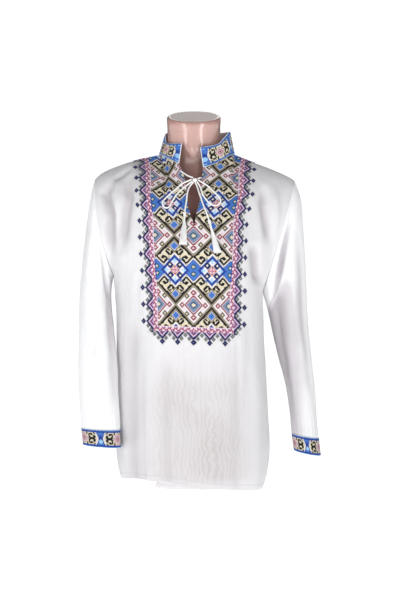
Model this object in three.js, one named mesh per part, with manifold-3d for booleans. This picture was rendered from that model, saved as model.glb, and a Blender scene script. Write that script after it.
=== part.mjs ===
// White linen folk shirt with an embroidered stand collar, chest and cuffs and a tasselled neck tie, worn by a
// smooth limbless torso form on which it stands. Every cloth piece is a thin wall: front with a neck slit, back,
// two sleeves, two cuffs and a collar, all 0.3 mm apart at their seams, open at neck, hem, cuffs and armholes.
//
// Millimetres, +Z up. The front faces -Y and the wearer's right side is -X. The origin is the centre of the flat
// foot of the form.
import * as THREE from "three";
import { mergeVertices } from "three/addons/utils/BufferGeometryUtils.js";
import Module from "manifold-3d";

const wasm = await Module();
wasm.setup();

// ---- Driving dimensions -------------------------------------------------------------------------------------
const CLOTH = 1.5; // wall of the linen
const BAND = 2; // wall of the collar and the cuffs, which are doubled and embroidered
const SEAM = 0.3; // gap between two pieces where they are sewn together
const SEAM_TURN = 0.004; // the same gap at the armhole's two corners, in radians of its ring
const PANEL = 112; // half width of the stiff embroidered chest, measured on the cloth
const CORD = 3.2; // diameter of the neck tie
const KNOT = { centre: [1, -94, 691], reach: [7, 5, 5] };

// Cross-sections of the body below the arms, from the hem (up 0) to the armpits (up 1).
const BODY = [
  { up: 0, right: 168, left: 157, front: 126, back: 122 },
  { up: 0.08, right: 176, left: 166, front: 129, back: 125 },
  { up: 0.2, right: 180, left: 171, front: 131, back: 125 },
  { up: 0.4, right: 179, left: 167, front: 130, back: 119 },
  { up: 0.6, right: 178, left: 162, front: 129, back: 117 },
  { up: 0.8, right: 178, left: 157, front: 131, back: 122 },
  { up: 1, right: 184, left: 155, front: 134, back: 129 },
];
const SQUARENESS = 2.25; // exponent of those sections, where 2 is an ellipse

// Height of the hem, in turns from the right side seam by way of the centre front (0.25).
const HEM = [
  { turn: 0, z: 22 },
  { turn: 0.14, z: 30 },
  { turn: 0.25, z: 18 },
  { turn: 0.38, z: 6 },
  { turn: 0.5, z: 4 },
  { turn: 0.63, z: 9 },
  { turn: 0.75, z: 14 },
  { turn: 0.88, z: 17 },
  { turn: 1, z: 22 },
];

// The armhole rings, from the shoulder tip to the armpit, with their reach towards the front and the back and how
// far their middle bows outward.
const ARMHOLES = {
  right: { side: -1, tip: [-227, 4, 702], pit: [-184, 0, 481], front: 58, back: 62, bow: 10 },
  left: { side: 1, tip: [229, 4, 697], pit: [155, 0, 445], front: 50, back: 54, bow: 1 },
};

// The neckline ring: its sides meet the shoulder seams, its front lies lower and its back higher.
const NECK = { x: 5, y: -3, wide: 85.7, front: 70, back: 66, z: 757, drop: 37, rise: 11, steep: 2.6 };

// The shoulder seams, from the neckline to the shoulder tip.
const SHOULDERS = {
  right: [
    { out: 80.7, z: 757 },
    { out: 138, z: 744 },
    { out: 178, z: 731 },
    { out: 210, z: 717 },
    { out: 227, z: 702 },
  ],
  left: [
    { out: 90.7, z: 757 },
    { out: 137, z: 739 },
    { out: 177, z: 724 },
    { out: 215, z: 707 },
    { out: 229, z: 697 },
  ],
};

// The neck slit: how far its right and left edges stand from the centre line at each height.
const SLIT = [
  { z: 592, right: 0.4, left: 0.4 },
  { z: 613, right: 8, left: 3.5 },
  { z: 626, right: 13, left: 7 },
  { z: 644, right: 15, left: 11.5 },
  { z: 662, right: 17, left: 13.5 },
  { z: 680, right: 20, left: 13.5 },
  { z: 699, right: 26, left: 17 },
  { z: 718, right: 35, left: 19 },
];

const CHEST_SWELL = 28; // how far the chest stands forward of a straight line from armpit level to neckline
const BACK_SWELL = 26; // the same over the shoulder blades
const ROLL = { rise: 2.5, turn: 0.7 }; // roundness of the cloth where it turns over the shoulders

// The folds of the front and the back, drawn in X and Z as seen from the front. Depth goes into the cloth;
// a negative depth is a ridge.
const FOLDS = {
  front: [
    { path: [[-182, 706], [-199, 664], [-188, 618], [-190, 575], [-184, 500]], width: 11, depth: 12 },
    { path: [[-172, 712], [-176, 668], [-172, 620], [-174, 560]], width: 8, depth: -4 },
    { path: [[-160, 700], [-148, 645], [-158, 600], [-160, 520]], width: 10, depth: 10 },
    { path: [[156, 690], [154, 640], [161, 598], [166, 545]], width: 10, depth: 11 },
    { path: [[180, 690], [184, 640], [186, 590], [180, 540]], width: 9, depth: -4 },
    { path: [[133, 560], [137, 500], [146, 452]], width: 9, depth: 8 },
    { path: [[-136, 420], [-139, 240], [-137, 10]], width: 19, depth: 9 },
    { path: [[-93, 380], [-96, 220], [-92, 8]], width: 17, depth: -6 },
    { path: [[-62, 330], [-63, 180], [-60, 6]], width: 13, depth: 5 },
    { path: [[96, 300], [99, 160], [97, 2]], width: 16, depth: 3.5 },
    { path: [[136, 340], [141, 170], [138, 0]], width: 14, depth: -4 },
  ],
  back: [
    { path: [[-150, 640], [-146, 560], [-152, 480]], width: 14, depth: 9 },
    { path: [[148, 630], [142, 550], [140, 470]], width: 14, depth: 8 },
    { path: [[-112, 430], [-108, 240], [-112, 8]], width: 20, depth: 10 },
    { path: [[-66, 470], [-70, 260], [-74, 8]], width: 19, depth: -5 },
    { path: [[-24, 500], [-28, 260], [-30, 8]], width: 17, depth: 7 },
    { path: [[38, 480], [44, 240], [46, 6]], width: 19, depth: 8 },
    { path: [[84, 450], [86, 260], [90, 6]], width: 16, depth: -5 },
    { path: [[124, 440], [126, 220], [128, 4]], width: 17, depth: 9 },
  ],
};

// Sections of the sleeves below the armhole: the outer and the inner edge in X and Z, the middle in Y and half
// the thickness of the hanging tube.
const SLEEVES = {
  right: [
    { outer: [-236, 664], inner: [-187, 469], y: 0, half: 58 },
    { outer: [-244, 612], inner: [-189, 454], y: -4, half: 54 },
    { outer: [-250, 560], inner: [-190, 436], y: -10, half: 49 },
    { outer: [-254, 506], inner: [-188, 412], y: -19, half: 45 },
    { outer: [-257, 450], inner: [-184, 380], y: -32, half: 42 },
    { outer: [-259, 372], inner: [-178, 330], y: -48, half: 40 },
    { outer: [-259, 290], inner: [-172, 264], y: -63, half: 37 },
    { outer: [-256, 208], inner: [-168, 196], y: -73, half: 34 },
    { outer: [-253, 143], inner: [-166, 139], y: -77, half: 31 },
  ],
  left: [
    { outer: [242, 652], inner: [160, 428], y: 2, half: 52 },
    { outer: [248, 596], inner: [165, 410], y: 3, half: 52 },
    { outer: [252, 540], inner: [169, 390], y: 5, half: 51 },
    { outer: [255, 484], inner: [174, 364], y: 7, half: 49 },
    { outer: [257, 424], inner: [182, 330], y: 9, half: 47 },
    { outer: [262, 352], inner: [194, 284], y: 10, half: 45 },
    { outer: [270, 272], inner: [207, 230], y: 10, half: 43 },
    { outer: [277, 192], inner: [215.5, 177], y: 10, half: 42 },
    { outer: [283, 112.5], inner: [222, 122.5], y: 10, half: 41 },
  ],
};
const SLEEVE_FOLDS = {
  right: [
    { turn: 0.31, from: 0.02, to: 0.42, width: 0.045, depth: 8 },
    { turn: 0.17, from: 0.1, to: 0.7, width: 0.05, depth: -4 },
    { turn: 0.4, from: 0.3, to: 0.95, width: 0.05, depth: 5 },
    { turn: 0.24, from: 0.45, to: 1.05, width: 0.04, depth: 3 },
    { turn: 0.65, from: 0.05, to: 0.6, width: 0.05, depth: 8 },
    { turn: 0.82, from: 0.3, to: 1.05, width: 0.05, depth: 5 },
  ],
  left: [
    { turn: 0.33, from: 0.04, to: 0.5, width: 0.05, depth: 13 },
    { turn: 0.22, from: 0.02, to: 0.6, width: 0.045, depth: -5 },
    { turn: 0.13, from: 0.15, to: 0.9, width: 0.045, depth: 6 },
    { turn: 0.42, from: 0.35, to: 1, width: 0.05, depth: 5 },
    { turn: 0.68, from: 0.05, to: 0.7, width: 0.05, depth: 9 },
    { turn: 0.84, from: 0.2, to: 1.05, width: 0.05, depth: 5 },
  ],
};

// The cuffs: their upper and lower edge, as on the sleeves.
const CUFFS = {
  right: [
    { outer: [-252.98, 142.7], inner: [-165.97, 138.7], y: -77, half: 31 },
    { outer: [-249, 105], inner: [-164, 98], y: -78, half: 31 },
  ],
  left: [
    { outer: [283.05, 112.2], inner: [222.05, 122.2], y: 10, half: 41 },
    { outer: [287.5, 71], inner: [227.5, 82.5], y: 10, half: 41 },
  ],
};

// The collar: a band on the neckline ring. Its top ring is narrower and runs from the right end by way of the back
// to the left end, at angles in degrees from the centre front that grow towards the wearer's left.
const COLLAR = { x: 6.5, y: -8, wide: 73.5, front: 62, back: 67 };
const COLLAR_TOP = [
  { angle: -355.4, z: 766 },
  { angle: -321, z: 773 },
  { angle: -303, z: 788 },
  { angle: -284, z: 803 },
  { angle: -260, z: 810 },
  { angle: -180, z: 813 },
  { angle: -110, z: 809 },
  { angle: -92, z: 801 },
  { angle: -76, z: 784 },
  { angle: -58, z: 778 },
  { angle: -28.4, z: 776 },
];

// Horizontal sections of the torso form, from its narrow flat foot to the cut of the neck. Lean lowers the front
// edge of a section and raises its back edge.
const FORM = [
  { z: 0, x: 0, y: 0, wide: 90, front: 48, back: 52, square: 2.1, lean: 0 },
  { z: 22, x: 0, y: 0, wide: 90, front: 48, back: 52, square: 2.1, lean: 0 },
  { z: 30, x: 0, y: 0, wide: 120, front: 72, back: 76, square: 2.2, lean: 0 },
  { z: 44, x: 0, y: 0, wide: 143, front: 91, back: 95, square: 2.3, lean: 0 },
  { z: 66, x: 0, y: 0, wide: 151, front: 97, back: 101, square: 2.3, lean: 0 },
  { z: 105, x: 0, y: 0, wide: 153, front: 98, back: 102, square: 2.3, lean: 0 },
  { z: 170, x: 0, y: 0, wide: 146, front: 94, back: 92, square: 2.3, lean: 0 },
  { z: 240, x: 0, y: 0, wide: 138, front: 92, back: 84, square: 2.3, lean: 0 },
  { z: 320, x: 0, y: 0, wide: 138, front: 97, back: 87, square: 2.3, lean: 0 },
  { z: 400, x: 0, y: 0, wide: 141, front: 106, back: 97, square: 2.3, lean: 0 },
  { z: 470, x: 0, y: 0, wide: 140, front: 113, back: 105, square: 2.3, lean: 0 },
  { z: 530, x: 0, y: 0, wide: 144, front: 114, back: 109, square: 2.2, lean: 0 },
  { z: 580, x: 0, y: 0, wide: 154, front: 109, back: 108, square: 2.1, lean: 0 },
  { z: 620, x: 0, y: 0, wide: 168, front: 97, back: 101, square: 1.95, lean: 0 },
  { z: 652, x: 0, y: 0, wide: 182, front: 82, back: 89, square: 1.8, lean: 0 },
  { z: 674, x: 0, y: 0, wide: 190, front: 70, back: 78, square: 1.7, lean: 0 },
  { z: 692.8, x: 0, y: 0, wide: 192, front: 62, back: 70, square: 1.6, lean: 0 },
  { z: 704.8, x: 0, y: 0, wide: 187, front: 57, back: 64, square: 1.5, lean: 0 },
  { z: 714.8, x: 2, y: 0, wide: 172, front: 53, back: 60, square: 1.35, lean: 0 },
  { z: 725.8, x: 4, y: 0, wide: 144, front: 50, back: 58, square: 1.25, lean: 0 },
  { z: 736.8, x: 5, y: 0, wide: 113, front: 48, back: 57, square: 1.3, lean: 1 },
  { z: 747.5, x: 4, y: 0, wide: 88, front: 49, back: 56, square: 1.45, lean: 3 },
  { z: 758, x: 2, y: -1, wide: 73, front: 49, back: 55, square: 1.75, lean: 6 },
  { z: 772, x: 0, y: -4, wide: 64, front: 50, back: 54, square: 2, lean: 10 },
  { z: 792, x: -1, y: -8, wide: 61, front: 49, back: 53, square: 2, lean: 14 },
  { z: 816, x: -2, y: -13, wide: 60, front: 49, back: 53, square: 2.1, lean: 18 },
  { z: 838, x: -2, y: -18, wide: 61, front: 50, back: 54, square: 2.2, lean: 20 },
  { z: 842, x: -2, y: -19, wide: 58, front: 47, back: 51, square: 2.2, lean: 19 },
];

// The routes of the neck tie, from the knot outwards.
const CORDS = {
  tie_cord_right: [[-30.8, -76.2, 712.7], [-22, -83.5, 706], [-12.5, -90, 700], [-3.5, -93.6, 696.3]],
  tie_cord_left: [[15.1, -87.1, 697.1], [11, -90, 695.8], [6.9, -92.2, 694.1]],
  tie_loop_right: [
    [-6.9, -94.6, 692.3], [-26, -97, 683], [-44, -100.5, 668], [-58, -104.5, 655.5], [-66.5, -108.5, 647],
    [-70, -112.5, 638.5], [-68, -115.5, 631], [-61.5, -117, 628], [-55, -116, 630.8], [-51.5, -113.5, 637.5],
    [-45.5, -109.5, 648.5], [-38, -105, 659.5], [-28, -101.5, 669.5], [-15, -98, 680.5], [-5.2, -95.6, 688.2],
  ],
  tie_loop_left: [
    [8.5, -95.3, 690.6], [29, -100.5, 677.5], [44, -107, 663], [54.5, -111, 651], [57.5, -114, 642.5],
    [53.5, -116.5, 635.8], [45, -118, 633.2], [35.5, -117.5, 636.5], [26, -115.5, 645.5], [18, -110, 659],
    [13, -103, 674], [6.1, -96.9, 686.8],
  ],
  tie_end_right: [[-2.3, -96.1, 686.3], [-10, -99, 677], [-15, -106, 664], [-17.5, -115.5, 644], [-21, -127.5, 619.5]],
  tie_end_left: [[1.7, -96.2, 685.8], [6, -100.5, 675], [11, -109, 659], [19.5, -121.5, 634], [31.5, -132.5, 601.5]],
};
const TASSELS = {
  tassel_right: { top: [-21.1, -127.9, 618.7], foot: [-25, -147.5, 545], strands: 22 },
  tassel_left: { top: [31.8, -132.8, 600.8], foot: [51, -145, 527], strands: 22 },
};
const TASSEL = { neck: 3.1, knob: 3.9, head: 9, spread: [9, 5.2], strand: 0.85 };

// ---- Grid resolution ----------------------------------------------------------------------------------------
const COLUMNS = { chest: 7, side: 12, back: 26 };
const ROWS = { below: 13, toSlit: 7, slit: 9, backBelow: 9, backAbove: 10 };
const SLEEVE_GRID = { around: 26, along: 19 };
const CUFF_GRID = { around: 28, along: 3 };
const COLLAR_GRID = { around: 40, up: 3 };
const FORM_AROUND = 28;

// ---- Small helpers ------------------------------------------------------------------------------------------
const lerp = (a, b, t) => a + (b - a) * t;
const clamp = (x) => Math.min(1, Math.max(0, x));
const ease = (x) => clamp(x) ** 2 * (3 - 2 * clamp(x));
const vec = (x, y, z) => new THREE.Vector3(x, y, z);
const count = (n) => Array.from({ length: n }, (_, i) => i);

// The value of a column of a table at a place along its key column, on a smooth curve through the rows.
function tabled(rows, key, column, place) {
  const last = rows.length - 1;
  let i = rows.findIndex((row) => row[key] > place) - 1;
  if (i < 0) i = place <= rows[0][key] ? 0 : last - 1;
  const slope = (k) => {
    const [a, b] = [Math.max(0, k - 1), Math.min(last, k + 1)];
    return (rows[b][column] - rows[a][column]) / (rows[b][key] - rows[a][key]);
  };
  const gap = rows[i + 1][key] - rows[i][key];
  const t = clamp((place - rows[i][key]) / gap);
  return (
    rows[i][column] * (1 + 2 * t) * (1 - t) ** 2 +
    slope(i) * gap * t * (1 - t) ** 2 +
    rows[i + 1][column] * t * t * (3 - 2 * t) +
    slope(i + 1) * gap * t * t * (t - 1)
  );
}

// Distance from the centre of a rounded section to its edge at an angle from the wearer's right side.
function sectionReach(angle, wide, deep, square) {
  const [c, s] = [Math.abs(Math.cos(angle)) / wide, Math.abs(Math.sin(angle)) / deep];
  return (c ** square + s ** square) ** (-1 / square);
}

// ---- The shape of the body ----------------------------------------------------------------------------------
// A point on the body below the arms: angle 0 right side seam, PI / 2 centre front; up 0 hem, 1 armpits.
function bodyPoint(angle, up) {
  const row = (column) => tabled(BODY, "up", column, up);
  const wide = Math.cos(angle) > 0 ? row("right") : row("left");
  const deep = Math.sin(angle) > 0 ? row("front") : row("back");
  const reach = sectionReach(angle, wide, deep, SQUARENESS);
  const turn = (angle / (2 * Math.PI) + 1) % 1;
  const hem = tabled(HEM, "turn", "z", turn);
  const pits = lerp(ARMHOLES.right.pit[2], ARMHOLES.left.pit[2], (1 - Math.cos(angle)) / 2);
  return vec(-reach * Math.cos(angle), -reach * Math.sin(angle), lerp(hem, pits, up));
}

// Lengths measured along the armpit section from one angle to another, so that cloth can be laid on it.
function arcOf(from, to) {
  const steps = 160;
  const rows = [{ length: 0, angle: from }];
  let [last, length] = [bodyPoint(from, 1), 0];
  for (const i of count(steps)) {
    const angle = lerp(from, to, (i + 1) / steps);
    const here = bodyPoint(angle, 1);
    length += Math.hypot(here.x - last.x, here.y - last.y);
    rows.push({ length, angle });
    last = here;
  }
  return rows;
}
const ARCS = {
  front: { right: arcOf(Math.PI / 2, 0), left: arcOf(Math.PI / 2, Math.PI) },
  back: { right: arcOf(1.5 * Math.PI, 2 * Math.PI), left: arcOf(1.5 * Math.PI, Math.PI) },
};
const sideOf = (across) => (across < 0 ? "right" : "left");
const girth = (panel, side) => ARCS[panel][side].at(-1).length;

// The angle of the cloth that lies a distance across from the centre line of a panel.
function angleAt(panel, across) {
  const rows = ARCS[panel][sideOf(across)];
  const wanted = Math.abs(across);
  const i = Math.min(rows.length - 2, Math.max(0, rows.findIndex((row) => row.length > wanted) - 1));
  const t = (wanted - rows[i].length) / (rows[i + 1].length - rows[i].length);
  return lerp(rows[i].angle, rows[i + 1].angle, t);
}

// The direction from the armpit to the shoulder tip, and the one out of the armhole.
function armholeAxes(side) {
  const { tip, pit, side: sign } = ARMHOLES[side];
  const spine = vec(...tip).sub(vec(...pit)).normalize();
  return { spine, out: vec(sign * spine.z, 0, -sign * spine.x).normalize() };
}

// A point of the armhole ring at a turn from the shoulder tip, by way of the front, to the armpit (PI).
function armholePoint(side, turn) {
  const { tip, pit, front, back, bow } = ARMHOLES[side];
  const t = (1 - Math.cos(turn)) / 2;
  const deep = Math.sin(turn) > 0 ? front : back;
  const p = vec(lerp(tip[0], pit[0], t), lerp(tip[1], pit[1], t) - deep * Math.sin(turn), lerp(tip[2], pit[2], t));
  return p.addScaledVector(armholeAxes(side).out, bow * Math.sin(turn) ** 2);
}

// The top edge of the front or the back at a distance X from the centre: neckline, then shoulder seam.
function topPoint(panel, x) {
  const off = (x - NECK.x) / NECK.wide;
  if (Math.abs(off) < 1) {
    const cos = Math.sqrt(1 - off * off);
    return panel === "front"
      ? vec(x, NECK.y - NECK.front * cos, NECK.z - NECK.drop * cos ** NECK.steep)
      : vec(x, NECK.y + NECK.back * cos, NECK.z + NECK.rise * cos ** 2);
  }
  const side = sideOf(x - NECK.x);
  const seam = SHOULDERS[side];
  const share = (Math.abs(x) - seam[0].out) / (seam.at(-1).out - seam[0].out);
  return vec(x, lerp(NECK.y, ARMHOLES[side].tip[1], clamp(share)), tabled(seam, "out", "z", Math.abs(x)));
}

// How far the embroidered chest has moved sideways, because the slit stands open.
function slitShift(across, z) {
  const side = sideOf(across);
  if (z < SLIT[0].z) return 0;
  const beside = 1 - ease((Math.abs(across) - PANEL) / (girth("front", side) - PANEL));
  return Math.sign(across) * tabled(SLIT, "z", side, z) * beside;
}

// A point on the front or the back above the armpits, before any folds: t is 0 at armpit level, 1 at the top.
const SLIT_AT = 0.49; // the level at which the slit ends
function upperPoint(panel, across, t) {
  const side = sideOf(across);
  const full = girth(panel, side);
  const share = Math.abs(across) / full;
  const below = bodyPoint(angleAt(panel, across), 1);
  const tip = Math.abs(ARMHOLES[side].tip[0]);
  const straight = Math.min(Math.abs(across), PANEL);
  const beyond = clamp((Math.abs(across) - PANEL) / (full - PANEL));
  const sign = across < 0 ? -1 : 1;
  const closedX = sign * lerp(straight, tip, beyond);
  const openX = panel === "front" ? closedX + slitShift(across, NECK.z) : closedX;
  const [closed, open] = [topPoint(panel, closedX), topPoint(panel, openX)];
  const opening = panel === "front" ? ease((t - SLIT_AT) / (1 - SLIT_AT)) : 0;
  const p = below.clone().lerp(vec(closedX, lerp(closed.y, open.y, opening), lerp(closed.z, open.z, opening)), t);

  const turn = lerp(Math.PI - SEAM_TURN, SEAM_TURN, t) * (panel === "front" ? 1 : -1);
  const pit = bodyPoint(side === "right" ? 0 : Math.PI, 1);
  const edge = armholePoint(side, turn).sub(pit.lerp(armholePoint(side, 0), t));
  const hold = share ** 2.2;
  p.addScaledVector(edge, hold);
  // Below the neckline the cloth swells evenly; below a shoulder seam it runs up steeply and turns over.
  const swell = Math.sin(Math.PI * t) * (panel === "front" ? -CHEST_SWELL : BACK_SWELL);
  const roll = ((1 - t ** ROLL.rise) ** ROLL.turn - (1 - t)) * (below.y - closed.y);
  const shoulder = ease((Math.abs(closedX - NECK.x) / NECK.wide - 0.5) / 0.7);
  p.y += lerp(swell, roll, shoulder) * (1 - share ** 3);
  if (panel === "front" && t > SLIT_AT) p.x += slitShift(across, p.z);
  return p;
}

// Distance from a point to a path in X and Z, and how far along the path its nearest point lies.
function nearPath(path, x, z) {
  let best = { off: Infinity, along: 0 };
  for (let i = 0; i + 1 < path.length; i++) {
    const [[ax, az], [bx, bz]] = [path[i], path[i + 1]];
    const [dx, dz] = [bx - ax, bz - az];
    const t = clamp(((x - ax) * dx + (z - az) * dz) / (dx * dx + dz * dz));
    const off = Math.hypot(x - ax - t * dx, z - az - t * dz);
    if (off < best.off) best = { off, along: (i + t) / (path.length - 1) };
  }
  return best;
}

// How far a panel's cloth lies inside its smooth shape at a point, from all of its folds.
function foldDepth(panel, p, keep) {
  let depth = 0;
  for (const fold of FOLDS[panel]) {
    const { off, along } = nearPath(fold.path, p.x, p.z);
    const fade = ease(along / 0.3) * (fold.path.at(-1)[1] < 20 ? 1 : ease((1 - along) / 0.3));
    depth += fold.depth * Math.exp(-((off / fold.width) ** 2)) * fade;
  }
  return depth * keep;
}

// ---- Walls --------------------------------------------------------------------------------------------------
// A closed wall between an outer and an inner sheet. Quads run counter-clockwise seen from outside.
function wall(outer, inner, quads) {
  const n = outer.length;
  const triangles = [];
  const edges = new Map();
  for (const [a, b, c, d] of quads) {
    triangles.push(a, b, c, a, c, d, n + a, n + c, n + b, n + a, n + d, n + c);
    for (const [p, q] of [[a, b], [b, c], [c, d], [d, a]]) {
      const back = q + "," + p;
      if (edges.has(back)) edges.delete(back);
      else edges.set(p + "," + q, [p, q]);
    }
  }
  for (const [p, q] of edges.values()) triangles.push(q, p, n + p, q, n + p, n + q);
  const geometry = new THREE.BufferGeometry().setFromPoints([...outer, ...inner]);
  geometry.setIndex(triangles);
  return geometry;
}

// Outward directions of a surface given as a function of two parameters, by small steps along each.
function outward(surface, a, b, step) {
  const along = surface(a + step[0], b).sub(surface(a - step[0], b));
  const up = surface(a, b + step[1]).sub(surface(a, b - step[1]));
  return along.cross(up).normalize();
}

// ---- Front and back -----------------------------------------------------------------------------------------
// Distances across a panel at which its columns stand: even over the chest, closer together beside it.
function columnsOf(panel) {
  const [right, left] = [girth(panel, "right") - SEAM / 2, girth(panel, "left") - SEAM / 2];
  if (panel === "back") return count(COLUMNS.back + 1).map((i) => lerp(left, -right, i / COLUMNS.back));
  const beside = (full) => count(COLUMNS.side + 1).map((i) => lerp(full, PANEL, i / COLUMNS.side));
  const over = count(COLUMNS.chest).slice(1).map((i) => PANEL * (1 - i / COLUMNS.chest));
  const half = (full) => [...beside(full), ...over];
  return [...half(right).map((u) => -u), 0, ...half(left).reverse()];
}

function panelPoint(panel, across, level) {
  if (level > 1) return upperPoint(panel, across, Math.min(level - 1, 1 - SEAM / 400));
  return bodyPoint(angleAt(panel, across), level);
}

// The direction from the outer to the inner face of a panel. At shoulder seams and armholes it is shared with
// the piece on the other side, so that the two walls meet edge to edge.
function panelInward(panel, across, level) {
  const side = sideOf(across);
  const facing = panel === "front" ? -1 : 1;
  const inside = Math.sign(across || 1) * Math.min(Math.abs(across), girth(panel, side) - 2);
  const held = Math.abs(level - 1) < 0.02 ? 0.98 : Math.min(level, 1.985);
  const smooth = outward((a, b) => panelPoint(panel, a, b), inside, held, [1, 0.01]).multiplyScalar(facing);
  if (level <= 1) return smooth;
  const t = level - 1;
  const turn = Math.PI * (1 - t);
  const radial = vec(0, Math.sin(turn) * -facing, 0).addScaledVector(armholeAxes(side).spine, -Math.cos(turn));
  const shelf = vec(side === "right" ? 1 : -1, 0, 0);
  const armhole = radial.lerp(shelf, ease((turn - 2.4) / 0.6)).normalize();
  const nearHole = ease((Math.abs(across) / girth(panel, side) - 0.93) / 0.07);
  const beyondNeck = Math.abs(panelPoint(panel, across, 2).x - NECK.x) / NECK.wide;
  const nearSeam = ease((t - 0.93) / 0.07) * ease((beyondNeck - 0.7) / 0.3);
  const inward = smooth.clone();
  inward.lerp(vec(0, 0, -1), nearSeam).lerp(armhole, nearHole);
  return inward.normalize();
}

function panelGeometry(panel) {
  const front = panel === "front";
  const columns = columnsOf(panel);
  const above = front
    ? [
        ...count(ROWS.toSlit).map((i) => (SLIT_AT * (i + 1)) / ROWS.toSlit),
        ...count(ROWS.slit).map((i) => lerp(SLIT_AT, 1, (i + 1) / ROWS.slit)),
      ]
    : count(ROWS.backAbove).map((i) => (i + 1) / ROWS.backAbove);
  const below = front ? ROWS.below : ROWS.backBelow;
  const levels = [...count(below + 1).map((i) => i / below), ...above.map((t) => 1 + t)];
  const outer = [];
  const inner = [];
  const put = (across, level) => {
    const full = girth(panel, sideOf(across));
    const smooth = panelPoint(panel, across, level);
    const inward = panelInward(panel, across, level);
    const keep = ease((full - Math.abs(across)) / 30) * ease((2 - level) * 9);
    const p = smooth.addScaledVector(inward, foldDepth(panel, smooth, keep));
    outer.push(p);
    inner.push(p.clone().addScaledVector(inward, CLOTH));
    return outer.length - 1;
  };
  // Above its end the slit's two edges are separate columns: just right and just left of the centre line.
  const ids = levels.map((level) =>
    columns.map((across) => {
      if (!front || across !== 0) return [put(across, level)];
      if (level <= 1 + SLIT_AT + 1e-9) return [put(0, level)];
      return [put(-1e-3, level), put(1e-3, level)];
    }),
  );
  const quads = [];
  for (let j = 0; j + 1 < levels.length; j++)
    for (let i = 0; i + 1 < columns.length; i++) {
      const quad = [ids[j][i].at(-1), ids[j][i + 1][0], ids[j + 1][i + 1][0], ids[j + 1][i].at(-1)];
      quads.push(quad);
    }
  return { geometry: wall(outer, inner, quads), outer, quads };
}

// ---- Sleeves, cuffs and collar ------------------------------------------------------------------------------
// A tube wall through rings: each ring has a centre, its two half axes and the folds at that place.
function tubeGeometry(rings, around, thick, relief) {
  const outer = [];
  const inner = [];
  rings.forEach((ring, j) => {
    for (const i of count(around)) {
      const turn = i / around;
      const angle = turn * 2 * Math.PI;
      const [c, s] = [Math.cos(angle), Math.sin(angle)];
      const spoke = ring.axis.clone().multiplyScalar(c * ring.long).addScaledVector(ring.cross, s * ring.deep(s));
      const inward = ring.axis.clone().multiplyScalar(-c * ring.deep(s));
      inward.addScaledVector(ring.cross, -s * ring.long).normalize();
      const p = ring.centre.clone().add(spoke).addScaledVector(inward, relief(turn, j / (rings.length - 1)));
      if (ring.bow) p.addScaledVector(ring.bow, s * s);
      outer.push(p);
      inner.push(p.clone().addScaledVector(inward, thick));
    }
  });
  const quads = [];
  for (let j = 0; j + 1 < rings.length; j++)
    for (const i of count(around)) {
      const k = (i + 1) % around;
      quads.push([j * around + i, j * around + k, (j + 1) * around + k, (j + 1) * around + i]);
    }
  return wall(outer, inner, quads);
}

const FORWARD = vec(0, -1, 0);
function ringOf(outerEdge, innerEdge, front, back) {
  const axis = outerEdge.clone().sub(innerEdge);
  const long = axis.length() / 2;
  return {
    centre: outerEdge.clone().add(innerEdge).multiplyScalar(0.5),
    axis: axis.normalize(),
    cross: FORWARD,
    long,
    deep: (s) => (s > 0 ? front : back),
  };
}

function sectionRing(rows, place) {
  const keyed = rows.map((row, i) => ({
    at: i, ox: row.outer[0], oz: row.outer[1], ix: row.inner[0], iz: row.inner[1], y: row.y,
    front: row.front ?? row.half, back: row.back ?? row.half,
  }));
  const value = (column) => tabled(keyed, "at", column, place);
  const [outerEdge, innerEdge] = [vec(value("ox"), value("y"), value("oz")), vec(value("ix"), value("y"), value("iz"))];
  return ringOf(outerEdge, innerEdge, value("front"), value("back"));
}

function sleeveGeometry(side) {
  const { tip, pit, front, back, bow } = ARMHOLES[side];
  const { out } = armholeAxes(side);
  const off = out.clone().multiplyScalar(SEAM + 0.1);
  const top = {
    outer: [tip[0] + off.x, tip[2] + off.z], inner: [pit[0] + off.x, pit[2] + off.z], y: 2, front, back,
  };
  const rows = [top, ...SLEEVES[side]];
  const { around, along } = SLEEVE_GRID;
  const rings = count(along + 1).map((j) => {
    const place = (j / along) * (rows.length - 1);
    return { ...sectionRing(rows, place), bow: out.clone().multiplyScalar(bow * (1 - ease(place / 2.5))) };
  });
  const relief = (turn, place) => {
    let depth = 0;
    for (const fold of SLEEVE_FOLDS[side]) {
      const span = (place - fold.from) / (fold.to - fold.from);
      if (span < 0 || span > 1) continue;
      const off = Math.abs(((turn - fold.turn + 1.5) % 1) - 0.5) / fold.width;
      depth += fold.depth * Math.exp(-off * off) * Math.sin(Math.PI * span);
    }
    return depth * ease(place / 0.08) * ease((1 - place) / 0.06);
  };
  const geometry = tubeGeometry(rings, around, CLOTH, relief);
  return side === "right" ? turned(geometry) : geometry;
}

// The same closed surface with its faces turned round, for a tube whose rings run the other way.
function turned(geometry) {
  const index = geometry.index.array;
  for (let i = 0; i < index.length; i += 3) [index[i + 1], index[i + 2]] = [index[i + 2], index[i + 1]];
  return geometry;
}

function cuffGeometry(side) {
  const rings = count(CUFF_GRID.along + 1).map((j) => sectionRing(CUFFS[side], j / CUFF_GRID.along));
  const geometry = tubeGeometry(rings, CUFF_GRID.around, BAND, () => 0);
  return side === "right" ? turned(geometry) : geometry;
}

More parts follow.
